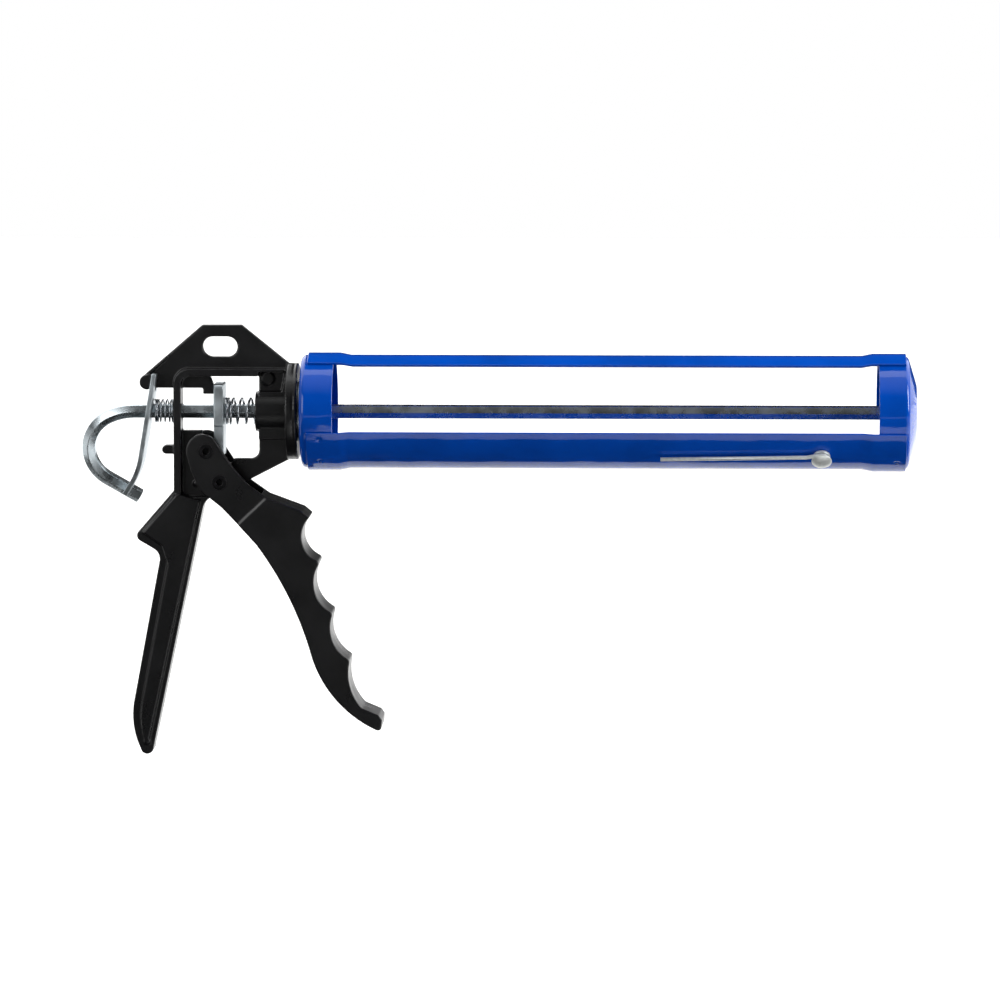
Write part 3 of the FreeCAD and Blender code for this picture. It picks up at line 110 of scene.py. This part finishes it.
# the corners of each black card
CARDS = (
    ("card_below", [(-0.9, -0.24, -0.30), (0.5, -0.24, -0.30), (0.5, 0.13, -0.30),
                    (-0.9, 0.13, -0.30)]),
    ("card_before", [(-1.6, -4.0, -0.41), (-0.32, -4.0, -0.41), (-0.32, -0.2, -0.41),
                     (-1.6, -0.2, -0.41)]),
    ("card_front", [(-0.32, -4.0, -0.41), (1.0, -4.0, -0.41), (1.0, -0.95, -0.41),
                    (-0.32, -0.95, -0.41)]),
    ("card_behind", [(-0.37, 0.7, -0.03), (0.25, 0.7, -0.03), (0.25, 0.7, 0.5),
                     (-0.37, 0.7, 0.5)]),
    ("card_over", [(-0.37, 0.7, 0.5), (0.25, 0.7, 0.5), (0.25, 0.12, 0.8),
                   (-0.37, 0.12, 0.8)]),
)


def linear(code, alpha=None):
    """Turn an sRGB hex colour into linear values: the low part is divided, the rest is a power."""
    parts = [int(code[i:i + 2], 16) / 255 for i in (1, 3, 5)]
    values = [c / 12.92 if c <= 0.04045 else ((c + 0.055) / 1.055) ** 2.4 for c in parts]
    return tuple(values) if alpha is None else tuple(values) + (alpha,)


class GunFinishes(bpy.types.PropertyGroup):
    """Colours and surface sizes of the gun's finishes."""

    coat: FloatVectorProperty(
        name="Powder coat", description="Colour of the coat on both castings", subtype="COLOR",
        size=3, min=0, max=1, default=linear("#0C0C0E"))
    enamel: FloatVectorProperty(
        name="Enamel", description="Colour of the barrel's stoved enamel", subtype="COLOR",
        size=3, min=0, max=1, default=linear("#0049B4"))
    zinc: FloatVectorProperty(
        name="Zinc", description="Colour of the bright zinc plate", subtype="COLOR",
        size=3, min=0, max=1, default=linear("#C6CFD4"))
    dull_zinc: FloatVectorProperty(
        name="Dull zinc", description="Colour of the passivated zinc on the piercing wire",
        subtype="COLOR", size=3, min=0, max=1, default=linear("#E4E8E6"))
    spring: FloatVectorProperty(
        name="Spring wire", description="Colour of the plated spring wire", subtype="COLOR",
        size=3, min=0, max=1, default=linear("#B4B8BD"))
    cast_grain: FloatProperty(
        name="Casting cells", description="Cells that soften the frame casting", unit="LENGTH",
        min=0.0003, default=0.00042)
    trigger_grain: FloatProperty(
        name="Trigger cells", description="Cells that soften the trigger", unit="LENGTH",
        min=0.0003, default=0.0005)
    sheet_round: FloatProperty(
        name="Sheet edges", description="Rounding of the edges of sheet and plate", unit="LENGTH",
        min=0, default=0.00035)
    round_steps: IntProperty(
        name="Rounding steps", description="Faces across a rounded edge", min=1, max=6, default=3)


class GunSprings(bpy.types.PropertyGroup):
    """Sizes of the two springs on the rod."""

    drive_radius: FloatProperty(
        name="Drive spring radius", description="To the middle of its wire", unit="LENGTH",
        min=0.001, default=0.0059)
    drive_wire: FloatProperty(
        name="Drive spring wire", description="Wire diameter", unit="LENGTH",
        min=0.0002, default=0.0012)
    release_radius: FloatProperty(
        name="Release spring radius", description="To the middle of its wire", unit="LENGTH",
        min=0.001, default=0.00525)
    release_wire: FloatProperty(
        name="Release spring wire", description="Wire diameter", unit="LENGTH",
        min=0.0002, default=0.0008)


class GunStage(bpy.types.PropertyGroup):
    """Camera and light of the studio."""

    view_width: FloatProperty(
        name="View width", description="Width that the camera sees at the gun", unit="LENGTH",
        min=0.1, default=0.470)
    distance: FloatProperty(
        name="Camera distance", description="From the camera to the gun", unit="LENGTH",
        min=0.5, default=2.8)
    elevation: FloatProperty(
        name="Camera elevation", description="Angle above the horizon", subtype="ANGLE",
        default=math.radians(5.7))
    azimuth: FloatProperty(
        name="Camera azimuth", description="Turn from the square view, towards the nozzle",
        subtype="ANGLE", default=math.radians(1.9))
    floor_level: FloatProperty(
        name="Floor level", description="Height of the floor", unit="LENGTH", default=-0.42)
    ceiling: FloatProperty(
        name="Ceiling light", description="Power of the ceiling softbox, in watts", min=0,
        default=370.0)
    key: FloatProperty(
        name="Key light", description="Power of the softbox on the right, in watts", min=0,
        default=16.0)
    side: FloatProperty(
        name="Side light", description="Power of the softbox on the left, in watts", min=0,
        default=5.0)


# --- Materials ----------------------------------------------------------------------------------


def add_node(tree, kind, inputs=None, **settings):
    """Add a node, give it its settings, and set or link each of its inputs."""
    node = tree.nodes.new(kind)
    for name, value in settings.items():
        setattr(node, name, value)
    for name, value in (inputs or {}).items():
        if isinstance(value, bpy.types.NodeSocket):
            tree.links.new(value, node.inputs[name])
        else:
            node.inputs[name].default_value = value
    return node


def start_material(name, surface):
    """New material with a Principled surface, given with its tree, surface and coordinates."""
    material = bpy.data.materials.new(name)
    material.use_nodes = True
    tree = material.node_tree
    tree.nodes.clear()
    shader = add_node(tree, "ShaderNodeBsdfPrincipled", surface)
    add_node(tree, "ShaderNodeOutputMaterial", {"Surface": shader.outputs["BSDF"]})
    place = add_node(tree, "ShaderNodeTexCoord").outputs["Object"]
    return material, tree, shader, place


def shade(colour, factor):
    """Colour made lighter or darker by a factor, with alpha."""
    return tuple(min(1.0, c * factor) for c in colour) + (1.0,)


def per_mm(size):
    """Noise scale for features of a size in millimetres."""
    return 1000.0 / size


def tone(tree, factor, low, high, start=0.35, end=0.65):
    """Colour ramp between two colours over part of a factor's range."""
    ramp = add_node(tree, "ShaderNodeValToRGB", {"Fac": factor})
    ramp.color_ramp.elements[0].position = start
    ramp.color_ramp.elements[0].color = low
    ramp.color_ramp.elements[1].position = end
    ramp.color_ramp.elements[1].color = high
    return ramp.outputs["Color"]


def spread(tree, factor, low, high):
    """Map a noise factor's middle range to a range of numbers."""
    return add_node(tree, "ShaderNodeMapRange", {
        "Value": factor, "From Min": 0.3, "From Max": 0.7, "To Min": low, "To Max": high,
    }).outputs["Result"]


def powder_coated_aluminium(name, colour):
    """Thermoset powder baked on die-cast aluminium: tight orange peel, half gloss, clouding."""
    material, tree, shader, place = start_material(name, {"IOR": 1.5, "Metallic": 0.0})
    # clouds 18 mm across, peel 0.7 mm across and 0.02 mm deep, and pores 1.6 mm apart, which is
    # coarser than real ones, so that they show
    cloud = add_node(tree, "ShaderNodeTexNoise", {
        "Vector": place, "Scale": per_mm(18), "Detail": 3.0})
    peel = add_node(tree, "ShaderNodeTexNoise", {
        "Vector": place, "Scale": per_mm(0.7), "Detail": 2.0})
    pores = add_node(tree, "ShaderNodeTexVoronoi", {"Vector": place, "Scale": per_mm(1.6)},
                     feature="SMOOTH_F1")
    cloudy = tone(tree, cloud.outputs["Fac"], shade(colour, 0.8), shade(colour, 1.25))
    tree.links.new(cloudy, shader.inputs["Base Color"])
    tree.links.new(spread(tree, cloud.outputs["Fac"], 0.26, 0.36), shader.inputs["Roughness"])
    low = add_node(tree, "ShaderNodeBump", {"Height": pores.outputs["Distance"], "Strength": 0.12,
                                            "Distance": 0.0001})
    bump = add_node(tree, "ShaderNodeBump", {"Height": peel.outputs["Fac"], "Strength": 0.3,
                                             "Distance": 0.00008, "Normal": low.outputs["Normal"]})
    tree.links.new(bump.outputs["Normal"], shader.inputs["Normal"])
    return material


def stoved_enamel(name, colour):
    """Blue stoving enamel on pressed steel: high gloss over faint waves left by the press."""
    material, tree, shader, place = start_material(name, {
        "Roughness": 0.4, "Specular IOR Level": 0.0, "Coat Weight": 1.0, "Coat Roughness": 0.07,
        "Coat IOR": 1.5})
    # press waves 14 mm across, paint texture 1.2 mm across, colour clouds 30 mm across
    waves = add_node(tree, "ShaderNodeTexNoise", {
        "Vector": place, "Scale": per_mm(14), "Detail": 1.0})
    fine = add_node(tree, "ShaderNodeTexNoise", {
        "Vector": place, "Scale": per_mm(1.2), "Detail": 2.0})
    cloud = add_node(tree, "ShaderNodeTexNoise", {
        "Vector": place, "Scale": per_mm(30), "Detail": 2.0})
    cloudy = tone(tree, cloud.outputs["Fac"], shade(colour, 0.9), shade(colour, 1.12))
    tree.links.new(cloudy, shader.inputs["Base Color"])
    wide = add_node(tree, "ShaderNodeBump", {"Height": waves.outputs["Fac"], "Strength": 0.5,
                                             "Distance": 0.0006})
    bump = add_node(tree, "ShaderNodeBump", {"Height": fine.outputs["Fac"], "Strength": 0.15,
                                             "Distance": 0.00005, "Normal": wide.outputs["Normal"]})
    tree.links.new(bump.outputs["Normal"], shader.inputs["Normal"])
    tree.links.new(bump.outputs["Normal"], shader.inputs["Coat Normal"])
    return material


def zinc_plated_bar(name, colour):
    """Bright zinc on cold drawn bar: faint draw lines along its length under a soft shine."""
    material, tree, shader, place = start_material(name, {"Metallic": 1.0})
    # draw lines 0.5 mm apart and 25 mm long, clouds 6 mm across
    stretched = add_node(tree, "ShaderNodeMapping", {"Vector": place, "Scale": (0.02, 1.0, 1.0)})
    lines = add_node(tree, "ShaderNodeTexNoise", {
        "Vector": stretched.outputs["Vector"], "Scale": per_mm(0.5), "Detail": 3.0})
    cloud = add_node(tree, "ShaderNodeTexNoise", {
        "Vector": place, "Scale": per_mm(6), "Detail": 3.0})
    cloudy = tone(tree, cloud.outputs["Fac"], shade(colour, 0.86), shade(colour, 1.04))
    tree.links.new(cloudy, shader.inputs["Base Color"])
    tree.links.new(spread(tree, cloud.outputs["Fac"], 0.2, 0.34), shader.inputs["Roughness"])
    bump = add_node(tree, "ShaderNodeBump", {"Height": lines.outputs["Fac"], "Strength": 0.08,
                                             "Distance": 0.00005})
    tree.links.new(bump.outputs["Normal"], shader.inputs["Normal"])
    return material


def zinc_plated_sheet(name, colour):
    """Barrel-plated zinc on stamped steel: knocked, cloudy and finely grained all over."""
    material, tree, shader, place = start_material(name, {"Metallic": 1.0})
    # knocks 2.5 mm across, grain 0.4 mm across, clouds 8 mm across
    knocks = add_node(tree, "ShaderNodeTexVoronoi", {"Vector": place, "Scale": per_mm(2.5)},
                      feature="SMOOTH_F1")
    grain = add_node(tree, "ShaderNodeTexNoise", {
        "Vector": place, "Scale": per_mm(0.4), "Detail": 3.0})
    cloud = add_node(tree, "ShaderNodeTexNoise", {
        "Vector": place, "Scale": per_mm(8), "Detail": 4.0})
    cloudy = tone(tree, cloud.outputs["Fac"], shade(colour, 0.8), shade(colour, 1.02))
    tree.links.new(cloudy, shader.inputs["Base Color"])
    tree.links.new(spread(tree, cloud.outputs["Fac"], 0.28, 0.46), shader.inputs["Roughness"])
    dents = add_node(tree, "ShaderNodeBump", {
        "Height": knocks.outputs["Distance"], "Strength": 0.25, "Distance": 0.0002})
    bump = add_node(tree, "ShaderNodeBump", {
        "Height": grain.outputs["Fac"], "Strength": 0.25, "Distance": 0.00006,
        "Normal": dents.outputs["Normal"]})
    tree.links.new(bump.outputs["Normal"], shader.inputs["Normal"])
    return material


def plated_wire(name, colour):
    """Zinc-plated spring wire: bright and smooth, with small dull patches."""
    material, tree, shader, place = start_material(name, {"Metallic": 1.0})
    # dull patches 1.5 mm across
    patches = add_node(tree, "ShaderNodeTexNoise", {
        "Vector": place, "Scale": per_mm(1.5), "Detail": 2.0})
    cloudy = tone(tree, patches.outputs["Fac"], shade(colour, 0.8), shade(colour, 1.05))
    tree.links.new(cloudy, shader.inputs["Base Color"])
    tree.links.new(spread(tree, patches.outputs["Fac"], 0.16, 0.3), shader.inputs["Roughness"])
    return material


def passivated_zinc(name, colour):
    """Zinc with a dull passivated skin on wire and rivet: pale, soft, and only partly a mirror."""
    material, tree, shader, place = start_material(name, {"Metallic": 0.45, "IOR": 1.5})
    # clouds 2 mm across, grain 0.3 mm across
    cloud = add_node(tree, "ShaderNodeTexNoise", {
        "Vector": place, "Scale": per_mm(2), "Detail": 2.0})
    grain = add_node(tree, "ShaderNodeTexNoise", {
        "Vector": place, "Scale": per_mm(0.3), "Detail": 2.0})
    cloudy = tone(tree, cloud.outputs["Fac"], shade(colour, 0.86), shade(colour, 1.0))
    tree.links.new(cloudy, shader.inputs["Base Color"])
    tree.links.new(spread(tree, cloud.outputs["Fac"], 0.3, 0.42), shader.inputs["Roughness"])
    bump = add_node(tree, "ShaderNodeBump", {"Height": grain.outputs["Fac"], "Strength": 0.1,
                                             "Distance": 0.00002})
    tree.links.new(bump.outputs["Normal"], shader.inputs["Normal"])
    return material


def blackened_steel(name, colour):
    """Black oxide on riveted steel pins: a thin dark skin that still reflects as metal."""
    material, tree, shader, place = start_material(name, {"Metallic": 0.7})
    # tool marks 0.3 mm across, clouds 3 mm across
    marks = add_node(tree, "ShaderNodeTexNoise", {
        "Vector": place, "Scale": per_mm(0.3), "Detail": 2.0})
    cloud = add_node(tree, "ShaderNodeTexNoise", {
        "Vector": place, "Scale": per_mm(3), "Detail": 2.0})
    cloudy = tone(tree, cloud.outputs["Fac"], shade(colour, 0.8), shade(colour, 1.6))
    tree.links.new(cloudy, shader.inputs["Base Color"])
    tree.links.new(spread(tree, cloud.outputs["Fac"], 0.28, 0.4), shader.inputs["Roughness"])
    bump = add_node(tree, "ShaderNodeBump", {"Height": marks.outputs["Fac"], "Strength": 0.2,
                                             "Distance": 0.00003})
    tree.links.new(bump.outputs["Normal"], shader.inputs["Normal"])
    return material


def painted_floor(name):
    """Matt white paint on a studio floor, which gives a soft, even ground."""
    material, tree, shader, place = start_material(name, {"Roughness": 0.8, "IOR": 1.45})
    # clouds two thirds of a metre across
    cloud = add_node(tree, "ShaderNodeTexNoise", {"Vector": place, "Scale": 1.5, "Detail": 2.0})
    cloudy = tone(tree, cloud.outputs["Fac"], linear("#FAFAF9", 1.0), linear("#FCFCFB", 1.0))
    tree.links.new(cloudy, shader.inputs["Base Color"])
    return material


def matt_card(name):
    """Black card that a studio holds near shiny goods, to keep their reflections deep."""
    material, tree, shader, place = start_material(name, {"Roughness": 1.0})
    # flecks 20 mm across
    grain = add_node(tree, "ShaderNodeTexNoise", {"Vector": place, "Scale": per_mm(20)})
    cloudy = tone(tree, grain.outputs["Fac"], linear("#0A0A0A", 1.0), linear("#101010", 1.0))
    tree.links.new(cloudy, shader.inputs["Base Color"])
    return material


# --- Pieces -------------------------------------------------------------------------------------


def paint(obj, material):
    """Give a whole piece one material."""
    obj.data.materials.clear()
    obj.data.materials.append(material)


def solid_copy(node, ending, join_flats=False):
    """New piece with a CAD node's solid, its loose triangles merged at their corners.

    Where flats are joined, flat neighbours also become whole faces."""
    mesh = NODES[node].data.copy()
    mesh.name = node + ending
    shell = bmesh.new()
    shell.from_mesh(mesh)
    bmesh.ops.remove_doubles(shell, verts=shell.verts, dist=MERGE)
    if join_flats:
        bmesh.ops.dissolve_degenerate(shell, dist=1e-6, edges=shell.edges)
        bmesh.ops.dissolve_limit(shell, angle_limit=math.radians(0.5), verts=shell.verts,
                                 edges=shell.edges, delimit=set())
    shell.to_mesh(mesh)
    shell.free()
    obj = bpy.data.objects.new(node + ending, mesh)
    bpy.context.scene.collection.objects.link(obj)
    return obj


def stand_in(obj, node, material):
    """Paint a piece, and put it in a CAD node's place and on its body."""
    source = NODES[node]
    paint(obj, material)
    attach(obj, source["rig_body"])
    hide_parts(node)


def rounded_copy(node, width, steps, material, angle=30.0):
    """Stand in for a CAD node with the same solid, its edges rounded.

    Each edge that turns by more than the angle gets a round of the given width."""
    obj = solid_copy(node, "_rounded", join_flats=True)
    obj.data.shade_smooth()
    bevel = obj.modifiers.new("Rounding", "BEVEL")
    bevel.width = width
    bevel.segments = steps
    bevel.limit_method = "ANGLE"
    bevel.angle_limit = math.radians(angle)
    bevel.use_clamp_overlap = False
    bevel.harden_normals = False
    even = obj.modifiers.new("Even shading", "WEIGHTED_NORMAL")
    even.keep_sharp = True
    even.weight = 60
    stand_in(obj, node, material)


def smooth_copy(node, material, angle=40.0):
    """Stand in for a CAD node with the same solid, shaded smooth where it turns by less than the
    angle."""
    obj = solid_copy(node, "_smooth")
    obj.data.shade_smooth()
    obj.data.set_sharp_from_angle(angle=math.radians(angle))
    stand_in(obj, node, material)


def cast_copy(node, grain, passes, keep, material):
    """Stand in for a CAD node that was die-cast: the same solid with every corner softened.

    The solid is cut into cells of the given size, and its skin is averaged with its neighbours a
    few times, which rounds outer edges and fills inner corners as a mould does. Of the skin's
    triangles the given share is kept, most where it curves."""
    obj = solid_copy(node, "_cast")
    cells = obj.modifiers.new("Cells", "REMESH")
    cells.mode = "VOXEL"
    cells.voxel_size = grain
    cells.use_smooth_shade = True
    soft = obj.modifiers.new("Softening", "SMOOTH")
    soft.factor = 0.5
    soft.iterations = passes
    fewer = obj.modifiers.new("Fewer faces", "DECIMATE")
    fewer.ratio = keep
    stand_in(obj, node, material)


def tube_along(name, path, frames, radius, around):
    """Closed tube: a circle carried along a path.

    Ring k is the path's point k plus radius times cos(a) of the first cross direction and sin(a) of
    the second; each end closes on a point in the middle of the last ring."""
    count = len(path)
    angle = np.linspace(0, 2 * np.pi, around, endpoint=False)
    first, second = frames
    rings = (path[:, None, :] + radius * (np.cos(angle)[None, :, None] * first[:, None, :]
                                          + np.sin(angle)[None, :, None] * second[:, None, :]))
    points = np.concatenate([rings.reshape(-1, 3), path[:1], path[-1:]])
    k, j = np.meshgrid(np.arange(count - 1), np.arange(around), indexing="ij")
    here, there = k * around + j, k * around + (j + 1) % around
    sides = np.stack([here, there, there + around, here + around], axis=-1).reshape(-1, 4)
    ring = np.arange(around)
    after = (ring + 1) % around
    start = np.stack([after, ring, np.full(around, count * around)], axis=-1)
    last = (count - 1) * around
    end = np.stack([last + ring, last + after, np.full(around, count * around + 1)], axis=-1)
    mesh = bpy.data.meshes.new(name)
    mesh.from_pydata(points.tolist(), [], sides.tolist() + start.tolist() + end.tolist())
    mesh.shade_smooth()
    obj = bpy.data.objects.new(name, mesh)
    bpy.context.scene.collection.objects.link(obj)
    return obj


def coil_spring(name, places, radius, wire, material):
    """Compression spring about the rod's axis.

    The wire's middle lies at radius from the axis, at an angle of 2 pi times the turn number, and
    its place along X is a smooth cubic between the places given for whole numbers of turns."""
    places = np.array(places)
    turns = len(places) - 1
    t = np.linspace(0, turns, RINGS_PER_TURN * turns + 1)
    slope = np.gradient(places)
    index = np.clip(t.astype(int), 0, turns - 1)
    u = t - index
    x = ((2 * u ** 3 - 3 * u ** 2 + 1) * places[index] + (u ** 3 - 2 * u ** 2 + u) * slope[index]
         + (-2 * u ** 3 + 3 * u ** 2) * places[index + 1] + (u ** 3 - u ** 2) * slope[index + 1])
    angle = 2 * np.pi * t
    out = np.stack([np.zeros_like(t), np.sin(angle), np.cos(angle)], axis=-1)
    path = radius * out + np.stack([x, 0 * x, 0 * x], axis=-1)
    along = np.gradient(path, axis=0)
    along /= np.linalg.norm(along, axis=1, keepdims=True)
    side = np.cross(along, out)
    obj = tube_along(name, path, (out, side), wire / 2, WIRE_SIDES)
    paint(obj, material)
    return obj


class GUN_OT_castings(bpy.types.Operator):
    """Round and coat the frame casting and the trigger"""

    bl_idname = "gun.castings"
    bl_label = "Frame casting and trigger"

    def execute(self, context):
        finish = context.scene.gun_finishes
        coat = powder_coated_aluminium("powder_coated_aluminium", finish.coat)
        cast_copy("frame_casting", finish.cast_grain, 2, 0.5, coat)
        cast_copy("trigger", finish.trigger_grain, 3, 1.0, coat)
        black = blackened_steel("blackened_steel", linear("#141416"))
        for node in ("pivot_pin", "drive_pin"):
            rounded_copy(node, PIN_ROUND, SMALL_STEPS, black)
        return {"FINISHED"}


class GUN_OT_barrel(bpy.types.Operator):
    """Round and enamel the barrel's caps and straps"""

    bl_idname = "gun.barrel"
    bl_label = "Barrel"

    def execute(self, context):
        finish = context.scene.gun_finishes
        enamel = stoved_enamel("stoved_enamel", finish.enamel)
        for node in ("rear_cap", "front_cap", "upper_strap", "lower_strap"):
            rounded_copy(node, finish.sheet_round, finish.round_steps, enamel)
        return {"FINISHED"}


class GUN_OT_rod(bpy.types.Operator):
    """Round and plate the push rod, its pusher and the fixings"""

    bl_idname = "gun.rod"
    bl_label = "Rod, pusher and fixings"

    def execute(self, context):
        finish = context.scene.gun_finishes
        bar = zinc_plated_bar("zinc_plated_bar", finish.zinc)
        sheet = zinc_plated_sheet("zinc_plated_sheet", finish.zinc)
        rounded_copy("push_rod", BAR_ROUND, SMALL_STEPS, bar, angle=40)
        rounded_copy("drive_plate", PLATE_ROUND, finish.round_steps, sheet)
        for node, slot in (("release_plate", "zinc_sheet"), ("pusher_plate", "steel_pressing")):
            rounded_copy(node, finish.sheet_round, finish.round_steps, sheet)
        rounded_copy("drive_spacer", BAR_ROUND, SMALL_STEPS, sheet)
        for node in ("pusher_backing", "pusher_nut", "bearing_washer", "retaining_washer"):
            rounded_copy(node, SMALL_ROUND, SMALL_STEPS, sheet)
        dull = passivated_zinc("passivated_zinc", finish.dull_zinc)
        for node in ("pin_rivet", "lift_washer"):
            rounded_copy(node, SMALL_ROUND, SMALL_STEPS, dull)
        smooth_copy("seal_pin", dull)
        smooth_copy("retaining_ring", sheet)
        return {"FINISHED"}


class GUN_OT_springs(bpy.types.Operator):
    """Wind the drive spring and the release spring"""

    bl_idname = "gun.springs"
    bl_label = "Springs"

    def execute(self, context):
        sizes = context.scene.gun_springs
        wire = plated_wire("plated_wire", context.scene.gun_finishes.spring)
        low, high = (corner.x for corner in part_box("drive_spring"))
        first, last = low + sizes.drive_wire / 2, high - sizes.drive_wire / 2
        places = [first + turn * MM for turn in DRIVE_TURNS] + [last - DRIVE_CLOSED * MM, last]
        drive = coil_spring("drive_spring_wound", places, sizes.drive_radius, sizes.drive_wire,
                            wire)
        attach(drive, "frame")
        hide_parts("drive_spring")
        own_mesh(drive)
        low, high = (corner.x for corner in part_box("release_spring"))
        first, last = low + sizes.release_wire / 2, high - sizes.release_wire / 2
        places = [first + turn * MM for turn in RELEASE_TURNS] + [last - RELEASE_CLOSED * MM, last]
        release = coil_spring("release_spring_wound", places, sizes.release_radius,
                              sizes.release_wire, wire)
        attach(release, "frame")
        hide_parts("release_spring")
        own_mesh(release)
        return {"FINISHED"}


def add_panel(name, corners):
    """Flat panel of the stage through four corners."""
    mesh = bpy.data.meshes.new(name)
    mesh.from_pydata(corners, [], [(0, 1, 2, 3)])
    panel = bpy.data.objects.new(name, mesh)
    bpy.context.scene.collection.objects.link(panel)
    return panel


def hang_lamp(name, place, target, size, power):
    """Softbox of a size in metres and a power in watts, which faces its target."""
    lamp = bpy.data.lights.new(name, "AREA")
    lamp.shape = "RECTANGLE"
    lamp.size, lamp.size_y = size
    lamp.energy = power
    light = bpy.data.objects.new(name, lamp)
    light.location = place
    light.rotation_euler = (Vector(target) - Vector(place)).to_track_quat("-Z", "Y").to_euler()
    light.visible_camera = False
    bpy.context.scene.collection.objects.link(light)


class GUN_OT_stage(bpy.types.Operator):
    """Lay the pale floor and set up the studio light and the camera"""

    bl_idname = "gun.stage"
    bl_label = "Studio"

    def execute(self, context):
        scene = context.scene
        stage = scene.gun_stage
        level = stage.floor_level
        floor = add_panel("studio_floor", [
            (-FLOOR_HALF, -FLOOR_HALF, level), (FLOOR_HALF, -FLOOR_HALF, level),
            (FLOOR_HALF, FLOOR_HALF, level), (-FLOOR_HALF, FLOOR_HALF, level)])
        paint(floor, painted_floor("painted_floor"))

        back = Vector((math.sin(stage.azimuth) * math.cos(stage.elevation),
                       -math.cos(stage.azimuth) * math.cos(stage.elevation),
                       math.sin(stage.elevation)))
        lens = bpy.data.cameras.new("studio_camera")
        lens.sensor_width = SENSOR
        lens.lens = SENSOR * stage.distance / stage.view_width
        lens.clip_end = 50.0
        camera = bpy.data.objects.new("studio_camera", lens)
        camera.location = Vector(GUN_MIDDLE) + back * stage.distance
        camera.rotation_euler = (-back).to_track_quat("-Z", "Y").to_euler()
        scene.collection.objects.link(camera)
        scene.camera = camera

        for name, power, place, target, size in SOFTBOXES:
            hang_lamp(name, place, target, size, getattr(stage, power))
        black = matt_card("matt_card")
        for name, corners in CARDS:
            card = add_panel(name, corners)
            paint(card, black)
            card.visible_camera = False
            card.visible_shadow = False

        world = bpy.data.worlds.new("studio")
        world.use_nodes = True
        tree = world.node_tree
        tree.nodes.clear()
        way = add_node(tree, "ShaderNodeTexCoord").outputs["Generated"]
        axes = add_node(tree, "ShaderNodeSeparateXYZ", {"Vector": way}).outputs
        # the room behind the camera is dim, and the walls above and behind the gun are white
        depth = add_node(tree, "ShaderNodeMapRange", {
            "Value": axes["Y"], "From Min": -0.5, "From Max": 0.5, "To Min": 0.03, "To Max": 1.0})
        height = add_node(tree, "ShaderNodeMapRange", {
            "Value": axes["Z"], "From Min": 0.6, "From Max": 1.0, "To Min": 0.0, "To Max": 0.8})
        room = add_node(tree, "ShaderNodeMath", {0: depth.outputs["Result"],
                                                 1: height.outputs["Result"]}, operation="MAXIMUM")
        seen = add_node(tree, "ShaderNodeLightPath").outputs["Is Camera Ray"]
        strength = add_node(tree, "ShaderNodeMath", {0: room.outputs["Value"], 1: seen},
                            operation="MAXIMUM")
        glow = add_node(tree, "ShaderNodeBackground", {"Color": (1.0, 1.0, 1.0, 1.0),
                                                       "Strength": strength.outputs["Value"]})
        add_node(tree, "ShaderNodeOutputWorld", {"Surface": glow.outputs["Background"]})
        scene.world = world
        scene.view_settings.view_transform = "Standard"
        scene.view_settings.look = "None"
        return {"FINISHED"}


STEPS = (GUN_OT_castings, GUN_OT_barrel, GUN_OT_rod, GUN_OT_springs, GUN_OT_stage)


class GUN_PT_steps(bpy.types.Panel):
    """Lists the gun's pieces, its sizes and the studio"""

    bl_idname = "GUN_PT_steps"
    bl_label = "Caulking gun"
    bl_space_type = "VIEW_3D"
    bl_region_type = "UI"
    bl_category = "Caulking gun"

    def draw(self, context):
        for step in STEPS:
            self.layout.operator(step.bl_idname)
        scene = context.scene
        for group in (scene.gun_finishes, scene.gun_springs, scene.gun_stage):
            column = self.layout.column()
            for name in group.__annotations__:
                column.prop(group, name)


CLASSES = (GunFinishes, GunSprings, GunStage) + STEPS + (GUN_PT_steps,)


def register():
    for kind in CLASSES:
        bpy.utils.register_class(kind)
    bpy.types.Scene.gun_finishes = PointerProperty(type=GunFinishes)
    bpy.types.Scene.gun_springs = PointerProperty(type=GunSprings)
    bpy.types.Scene.gun_stage = PointerProperty(type=GunStage)


def unregister():
    del bpy.types.Scene.gun_stage
    del bpy.types.Scene.gun_springs
    del bpy.types.Scene.gun_finishes
    for kind in reversed(CLASSES):
        bpy.utils.unregister_class(kind)


def main():
    register()
    bpy.ops.gun.castings()
    bpy.ops.gun.barrel()
    bpy.ops.gun.rod()
    bpy.ops.gun.springs()
    bpy.ops.gun.stage()


if __name__ == "__main__":
    main()
